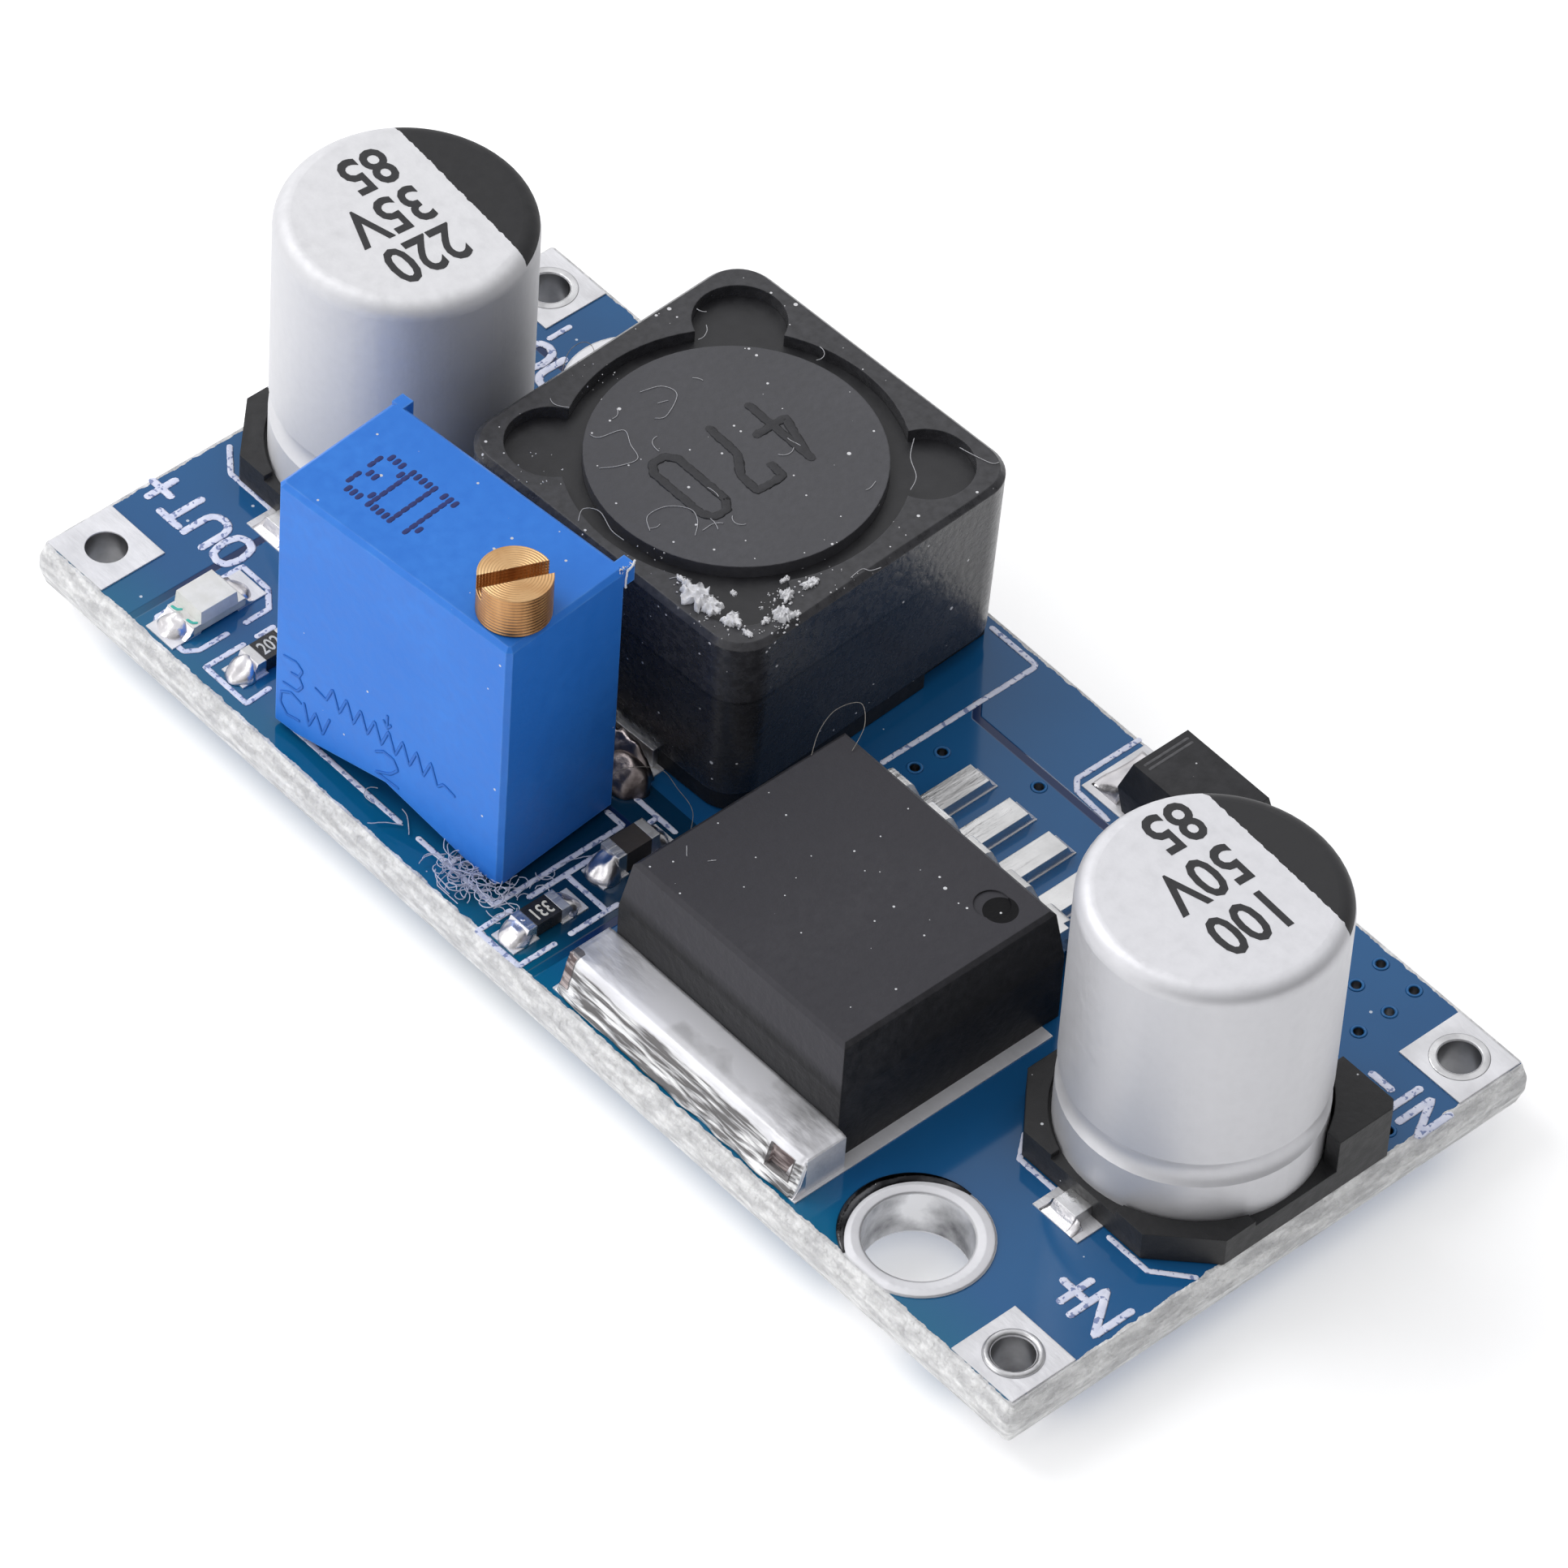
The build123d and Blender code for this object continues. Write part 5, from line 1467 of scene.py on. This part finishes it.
class ModuleRegulator(ModuleOperator, bpy.types.Operator):
    """Finish the regulator, its tab and every tinned lead"""

    bl_idname = "module.regulator"
    bl_label = "Regulator"

    def make(self, scene):
        dress(epoxy_finish(), "regulator_body")
        low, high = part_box("regulator_tab")
        right = (
            Vector((high.x - 1.28 * MM, low.y - 1 * MM, 2.98 * MM)),
            Vector((high.x - 0.38 * MM, low.y + 0.3 * MM, 3.7 * MM)),
        )
        left = (
            Vector((low.x - 1 * MM, low.y - 0.4 * MM, 2.8 * MM)),
            Vector((low.x + 0.36 * MM, low.y + 0.3 * MM, 3.86 * MM)),
        )
        dress(tab_finish("tinned_tab", (left, right), 0.4), "regulator_tab")
        film = tab_film(low.x, high.x, right)
        piece("tab_solder", film, tab_finish("tab_solder", (left, right), 0.36))
        pair = (colour(0.66, 0.66, 0.66), colour(0.86, 0.86, 0.86))
        leads = tin_finish("plated_leads", *pair, 0.3, 1500.0, (3.0, 0.4, 1.0))
        chips = ("feedback_resistor_caps", "lamp_resistor_caps", "filter_capacitor_caps")
        ends = [f"{part}_terminals" for part in ("diode", "choke", "input_capacitor", "output_capacitor")]
        dress(leads, "regulator_leads", "trimmer_pins", "lamp_contacts", *ends, *chips)


class ModuleChoke(ModuleOperator, bpy.types.Operator):
    """Finish the choke and print its value"""

    bl_idname = "module.choke"
    bl_label = "Choke"

    def make(self, scene):
        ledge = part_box("choke_shield")[1].z - SHIELD_BAND
        dark = (colour(0.024, 0.024, 0.027), colour(0.046, 0.046, 0.052))
        pale = (colour(0.06, 0.06, 0.067), colour(0.095, 0.095, 0.106))
        dress(ferrite_finish("ferrite_shield", *dark, 0.42, 0.5, ledge), "choke_shield")
        dress(ferrite_finish("ferrite_drum", *pale, 0.62, 0.3), "choke_drum")
        black = (colour(0.012, 0.012, 0.013), colour(0.03, 0.03, 0.032))
        dress(moulding_finish("base_moulding", *black, 0.5), "choke_base")
        dress_plainly(("choke_resin", "choke_winding"))
        ink = ink_finish("choke_print_ink", colour(0.020, 0.020, 0.023), colour(0.042, 0.042, 0.047), 0.6)
        place = frame_at(middle("choke_drum") + Vector((0, 0, 0.01 * MM)), (0, -1, 0), (1, 0, 0))
        edges = {"ragged": 0.16 * MM, "spacing": 0.08 * MM}
        figures = millimetres(CHOKE_FIGURES)
        value = strokes(figures, 0.15 * MM, INK_THICKNESS, ink, place, **edges, seed=3.0)
        piece("choke_print", value, ink)


class ModuleTrimmer(ModuleOperator, bpy.types.Operator):
    """Finish the trimmer, with its value and its wiring sign"""

    bl_idname = "module.trimmer"
    bl_label = "Trimmer"

    def make(self, scene):
        pair = (colour(0.020, 0.18, 0.68), colour(0.034, 0.225, 0.76))
        rubbed = colour(0.16, 0.42, 0.86)
        dress(moulding_finish("trimmer_blue", *pair, 0.42, 0.1, 0.006 * MM, rubbed), "trimmer_housing")
        dress(brass_finish(), "trimmer_screw")
        dress_plainly([f"trimmer_{part}" for part in ("potting", "element", "wheel", "wiper", "seal")])
        turn = radians(TRIMMER_TURN)
        along = Vector((cos(turn), sin(turn), 0))
        outward = Vector((sin(turn), -cos(turn), 0))
        ink = ink_finish("trimmer_ink", colour(0.004, 0.008, 0.09), colour(0.01, 0.03, 0.2), 0.5)
        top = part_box("trimmer_housing")[1].z
        place = frame_at((*TRIMMER_VALUE_AT, top), -along, outward)
        edges = {"ragged": 0.03 * MM, "spacing": 0.05 * MM}
        value = strokes(dot_lines("103"), 0.085 * MM, 0.02 * MM, ink, place, **edges)
        piece("trimmer_print", value, ink)
        # The wiring sign's strokes are a darker blue than the housing: painted shade of engraved lines
        pair = (colour(0.015, 0.14, 0.57), colour(0.024, 0.18, 0.65))
        sunk = moulding_finish("trimmer_sunk_lines", *pair, 0.5, dust=0.0)
        front = TRIMMER_CENTRE + outward * (TRIMMER_HALF_DEPTH + 0.004 * MM)
        place = frame_at(front, along, (0, 0, 1))
        sign = strokes(millimetres(WIRING_SIGN), 0.055 * MM, INK_THICKNESS, sunk, place, ragged=0.01 * MM)
        piece("trimmer_wiring_sign", sign, sunk)


class ModuleCapacitors(ModuleOperator, bpy.types.Operator):
    """Finish the two capacitors and print their values"""

    bl_idname = "module.capacitors"
    bl_label = "Capacitors"

    def make(self, scene):
        pair = (colour(0.02, 0.02, 0.021), colour(0.038, 0.038, 0.04))
        base = moulding_finish("capacitor_base_moulding", *pair, 0.45, dust=0.1)
        dress(base, "input_capacitor_base", "output_capacitor_base")
        ink = ink_finish("can_print_ink", colour(0.012, 0.012, 0.014), colour(0.03, 0.03, 0.034), 0.5)
        # Each look: tint, roughness, metal, and the painted shade of the sides
        looks = ((colour(0.80, 0.80, 0.83), 0.46, 0.5, 0.74), (colour(0.80, 0.80, 0.82), 0.6, 0.55, 0.84))
        jobs = (
            ("input", scene.module_input_marking, ("100", "50V", "85"), looks[0]),
            ("output", scene.module_output_marking, ("220", "35V", "85"), looks[1]),
        )
        for side, marking, rows, look in jobs:
            can = f"{side}_capacitor_can"
            dress(can_finish(f"{side}_can_aluminium", can, marking, *look), can)
            turn = radians(marking.turn)
            up = Vector((cos(turn), sin(turn), 0))
            reading = Vector((sin(turn), -cos(turn), 0))
            figures = []
            for row, lift in zip(rows, marking.rows):
                shift = marking.start + (0.0 if len(row) == 3 else SHORT_ROW_SHIFT)
                spot = middle(can) + Vector((0, 0, 0.006 * MM)) + up * lift * MM + reading * shift * MM
                place = frame_at(spot, reading, up)
                figures.append(lettering(row, 1.55 * MM, place, squeeze=0.8, weight=0.035 * MM))
            piece(f"{side}_can_print", joined(figures), ink)


class ModuleSmallParts(ModuleOperator, bpy.types.Operator):
    """Finish the diode, the chips and the indicator lamp, with their figures"""

    bl_idname = "module.small_parts"
    bl_label = "Small parts"

    def make(self, scene):
        dress_plainly(("feedback_resistor_body", "filter_capacitor_body", "lamp_substrate", "lamp_lens"))
        dress(bpy.data.materials["black_glaze"], "lamp_resistor_body")
        pair = (colour(0.016, 0.016, 0.018), colour(0.04, 0.04, 0.044))
        dress(moulding_finish("diode_epoxy", *pair, 0.45, dust=0.1), "diode_body")
        white = ink_finish("chip_digits", colour(0.75, 0.74, 0.7), colour(0.5, 0.5, 0.46))
        digits = []
        for part, figures, onward in (("feedback_resistor", "331", -1), ("lamp_resistor", "202", 1)):
            spot = middle(f"{part}_body") + Vector((0, 0, 0.004 * MM))
            place = frame_at(spot, (0, onward, 0), (-onward, 0, 0))
            digits.append(lettering(figures, 0.5 * MM, place, squeeze=0.72, weight=0.008 * MM))
        piece("chip_digits_print", joined(digits), white)
        grey = ink_finish("diode_ink", colour(0.12, 0.12, 0.125), colour(0.05, 0.05, 0.055))
        place = Matrix.Translation(middle("diode_body"))
        band = strokes(millimetres(DIODE_BAND), 0.05 * MM, 0.015 * MM, grey, place, ragged=0.02 * MM)
        piece("diode_band", band, grey)
        green = ink_finish("lamp_sign_ink", colour(0.03, 0.42, 0.34), colour(0.10, 0.6, 0.5))
        low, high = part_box("lamp_substrate")
        near_end = Matrix.Translation(((low.x + high.x) / 2, low.y + 0.14 * MM, high.z + 0.045 * MM))
        sign = strokes(millimetres(LAMP_SIGN), 0.05 * MM, INK_THICKNESS, green, near_end)
        piece("lamp_sign", sign, green)


class ModuleSolder(ModuleOperator, bpy.types.Operator):
    """Wet every joint on the board with solder"""

    bl_idname = "module.solder"
    bl_label = "Solder"

    def make(self, scene):
        solder = solder_finish("wetted_solder", colour(0.66, 0.64, 0.65), colour(0.92, 0.90, 0.92), 0.24)
        dress(solder, "pin_solder", "top_solder")
        lumps = [blob(*lump, seed * 3.7) for seed, lump in enumerate(SOLDER_LUMPS)]
        slopes = [fillet(*slope, seed * 5.1) for seed, slope in enumerate(SOLDER_SLOPES)]
        piece("solder_joints", joined(lumps + slopes), solder)
        flux = solder_finish("fluxed_solder", colour(0.16, 0.13, 0.125), colour(0.52, 0.46, 0.45), 0.3)
        lump = blob(-3.3, -2.9, 0.9, 0.68, 0.62, 0.5, 41.0)
        side = fillet((-9.0, -2.2), (-2.75, -2.2), (0, -1), 1.2, 0.9, 17.0, rough=0.25)
        piece("choke_solder", joined([lump, side]), flux)


class ModuleDust(ModuleOperator, bpy.types.Operator):
    """Strew the crumbs, fibres and hairs that lie on the module"""

    bl_idname = "module.dust"
    bl_label = "Dust"

    def make(self, scene):
        self.crumble()
        random = Random(11)
        pair = (colour(0.42, 0.44, 0.56), colour(0.62, 0.64, 0.76))
        lint = plain_finish("pale_fibre", *pair, 0.6, scale=FINE)
        tangle = strokes(self.tangled(random), 0.016 * MM, 0.032 * MM, lint)
        piece("fibre_tangle", tangle, lint)
        pair = (colour(0.22, 0.2, 0.18), colour(0.4, 0.37, 0.33))
        dark = plain_finish("fine_hair", *pair, 0.4, scale=FINE)
        pair = (colour(0.45, 0.45, 0.47), colour(0.65, 0.65, 0.68))
        pale = plain_finish("pale_hair", *pair, 0.5, scale=FINE)
        loose = millimetres([smoothed(hair) for hair in HAIRS])
        piece("loose_hairs", strokes(loose, 0.01 * MM, 0.02 * MM, dark, spacing=0.05 * MM), dark)
        short = strokes(self.scattered(random), 0.011 * MM, 0.022 * MM, pale, spacing=0.06 * MM)
        piece("dust_hairs", short, pale)

    def crumble(self):
        """The chalky bits on the choke's corner and on the trimmer's nub."""
        pair = (colour(0.72, 0.72, 0.74), colour(0.9, 0.9, 0.92))
        chalk = plain_finish("white_crumb", *pair, 0.7, scale=FINE)
        choke_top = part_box("choke_shield")[1].z
        flakes = [flake(*shape, choke_top + 0.004 * MM, seed * 4.3) for seed, shape in enumerate(FLAKES)]
        heaps = crumbs(CRUMB_HEAPS, 0.42 * MM, choke_top + 0.02 * MM, 12, 0.012 * MM, 0.05 * MM, chalk, 4)
        strays = crumbs(CRUMB_STRAYS, 0.8 * MM, choke_top + 0.01 * MM, 16, 0.01 * MM, 0.03 * MM, chalk, 9)
        piece("choke_crumbs", joined([*flakes, heaps, strays]), chalk)
        nub_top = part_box("trimmer_housing")[1].z
        scuffs = crumbs(NUB_CRUMBS, 0.1 * MM, nub_top, 9, 0.01 * MM, 0.035 * MM, chalk, 2)
        edges = {"ragged": 0.07 * MM, "spacing": 0.04 * MM}
        scuff = strokes(millimetres([NUB_SCUFF]), 0.035 * MM, 0.07 * MM, chalk, **edges)
        piece("trimmer_crumbs", joined([scuffs, scuff]), chalk)

    def tangled(self, random):
        """The fibres caught at the trimmer's foot, kept on the board."""
        fibres = []
        for _ in range(85):
            x, y = random.gauss(-2.75, 0.75), random.gauss(-9.05, 0.42)
            y = max(-9.95, min(-7.6, y + (x + 2.75) * 0.3))
            start = (x * MM, y * MM, DECK + random.uniform(0.06, 0.5) * MM)
            fibres.append(curled(random, start, random.uniform(0.5, 1.5) * MM, 0.5, rise=0.8))
        for x, y in FIBRE_STRAYS:
            fibres.append(curled(random, (x * MM, y * MM, DECK + 0.1 * MM), 1.1 * MM, 0.3, rise=0.5))
        return [[(x, max(y, -9.98 * MM), z) for x, y, z in fibre] for fibre in fibres]

    def scattered(self, random):
        """Short hairs on the choke and the regulator: some by chance, some as they lie on the disc."""
        spots = []
        choke_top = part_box("choke_shield")[1].z
        disc = middle("choke_drum")
        for _ in range(5):
            turn, far = random.uniform(0, 2 * pi), random.uniform(0, 4.2) * MM
            spots.append((disc.x + far * cos(turn), disc.y + far * sin(turn), disc.z + 0.02 * MM))
        for _ in range(12):
            x, y = random.uniform(-11.6, -0.8), random.uniform(-1.4, 9.0)
            spots.append((x * MM, y * MM, choke_top + 0.02 * MM))
        low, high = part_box("regulator_body")
        for _ in range(2):
            x = random.uniform(low.x + 0.5 * MM, high.x - 0.5 * MM)
            y = random.uniform(low.y + 0.6 * MM, high.y - 0.5 * MM)
            spots.append((x, y, high.z + 0.015 * MM))
        lines = [curled(random, spot, random.uniform(0.3, 0.8) * MM, 0.3) for spot in spots]
        laid = [smoothed([(x, y, choke_top / MM + 0.02) for x, y in line]) for line in DISC_HAIRS]
        return lines + millimetres(laid)


class ModuleStage(ModuleOperator, bpy.types.Operator):
    """Set up the floor, the lights and the camera"""

    bl_idname = "module.stage"
    bl_label = "Stage"

    def make(self, scene):
        stage = scene.module_stage
        scene.view_settings.view_transform = "Standard"
        scene.world = self.studio(stage)
        bm = bmesh.new()
        bmesh.ops.create_grid(bm, x_segments=4, y_segments=4, size=1.5)
        floor = as_mesh(bm, "floor")
        floor.materials.append(self.paper(stage))
        ground = bpy.data.objects.new("floor", floor)
        scene.collection.objects.link(ground)
        for name, place, power in (
            ("key_light", KEY_LIGHT_AT, stage.key_power),
            ("side_light", SIDE_LIGHT_AT, stage.side_power),
        ):
            data = bpy.data.lights.new(name, "AREA")
            data.shape = "SQUARE"
            data.size = LIGHT_WIDTH
            data.energy = power
            lamp = bpy.data.objects.new(name, data)
            lamp.location = place
            lamp.rotation_euler = (LIGHTS_AIM - place).to_track_quat("-Z", "Y").to_euler()
            scene.collection.objects.link(lamp)
        lens = bpy.data.cameras.new("camera")
        lens.sensor_width = 36.0
        lens.lens = stage.camera_lens
        lens.clip_start = 0.01
        lens.clip_end = 10.0
        camera = bpy.data.objects.new("camera", lens)
        camera.location = stage.camera_place
        camera.rotation_euler = Euler([radians(angle) for angle in stage.camera_turn])
        scene.collection.objects.link(camera)
        scene.camera = camera

    def studio(self, stage):
        """Soft light from all round, brighter on one side."""
        world = bpy.data.worlds.new("studio")
        world.use_nodes = True
        tree = world.node_tree
        towards = put(tree, "ShaderNodeTexCoord").outputs["Generated"]
        side = vectors(tree, "DOT_PRODUCT", towards, Vector(stage.bright_side).normalized())
        background = tree.nodes["Background"].inputs
        feed(tree, background["Color"], (0.985, 0.985, 1.0, 1.0))
        feed(tree, background["Strength"], side.spread(-0.5, 0.6, stage.dark_light, stage.world_light))
        return world

    def paper(self, stage):
        """The white table."""
        made = Finish("white_paper", roughness=0.8)
        grain = made.mottle(60.0, 0.4)
        made.set(
            base_color=made.mix(grain, colour(0.92, 0.92, 0.92), colour(0.94, 0.94, 0.94)),
            emission_color=colour(1.0, 1.0, 1.0),
            emission_strength=stage.floor_glow,
        )
        return made.material


OPERATORS = (
    ModuleStage,
    ModuleBoard,
    ModulePrint,
    ModuleRegulator,
    ModuleChoke,
    ModuleTrimmer,
    ModuleCapacitors,
    ModuleSmallParts,
    ModuleSolder,
    ModuleDust,
)


class ModulePanel(bpy.types.Panel):
    """The module's settings and its pieces"""

    bl_idname = "MODULE_PT_main"
    bl_label = "Buck converter module"
    bl_space_type = "VIEW_3D"
    bl_region_type = "UI"
    bl_category = "Module"

    def draw(self, context):
        for operator in OPERATORS:
            self.layout.operator(operator.bl_idname)
        for name, group_class in SETTINGS.items():
            box = self.layout.box()
            for setting in group_class.__annotations__:
                box.prop(getattr(context.scene, name), setting)


CLASSES = (ModuleBoardSettings, ModuleMarkingSettings, ModuleStageSettings, *OPERATORS, ModulePanel)


def register():
    for item in CLASSES:
        bpy.utils.register_class(item)
    for name, group_class in SETTINGS.items():
        setattr(bpy.types.Scene, name, PointerProperty(type=group_class))


def unregister():
    for name in SETTINGS:
        delattr(bpy.types.Scene, name)
    for item in reversed(CLASSES):
        bpy.utils.unregister_class(item)


def main():
    """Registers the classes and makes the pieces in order."""
    register()
    bpy.context.scene.module_output_marking.turn = -5.0
    bpy.context.scene.module_output_marking.chord = 1.85 * MM
    bpy.context.scene.module_output_marking.rows = (1.6, -0.3, -2.2)
    bpy.context.scene.module_output_marking.start = 0.5
    for operator in OPERATORS:
        namespace, name = operator.bl_idname.split(".")
        getattr(getattr(bpy.ops, namespace), name)()


if __name__ == "__main__":
    main()
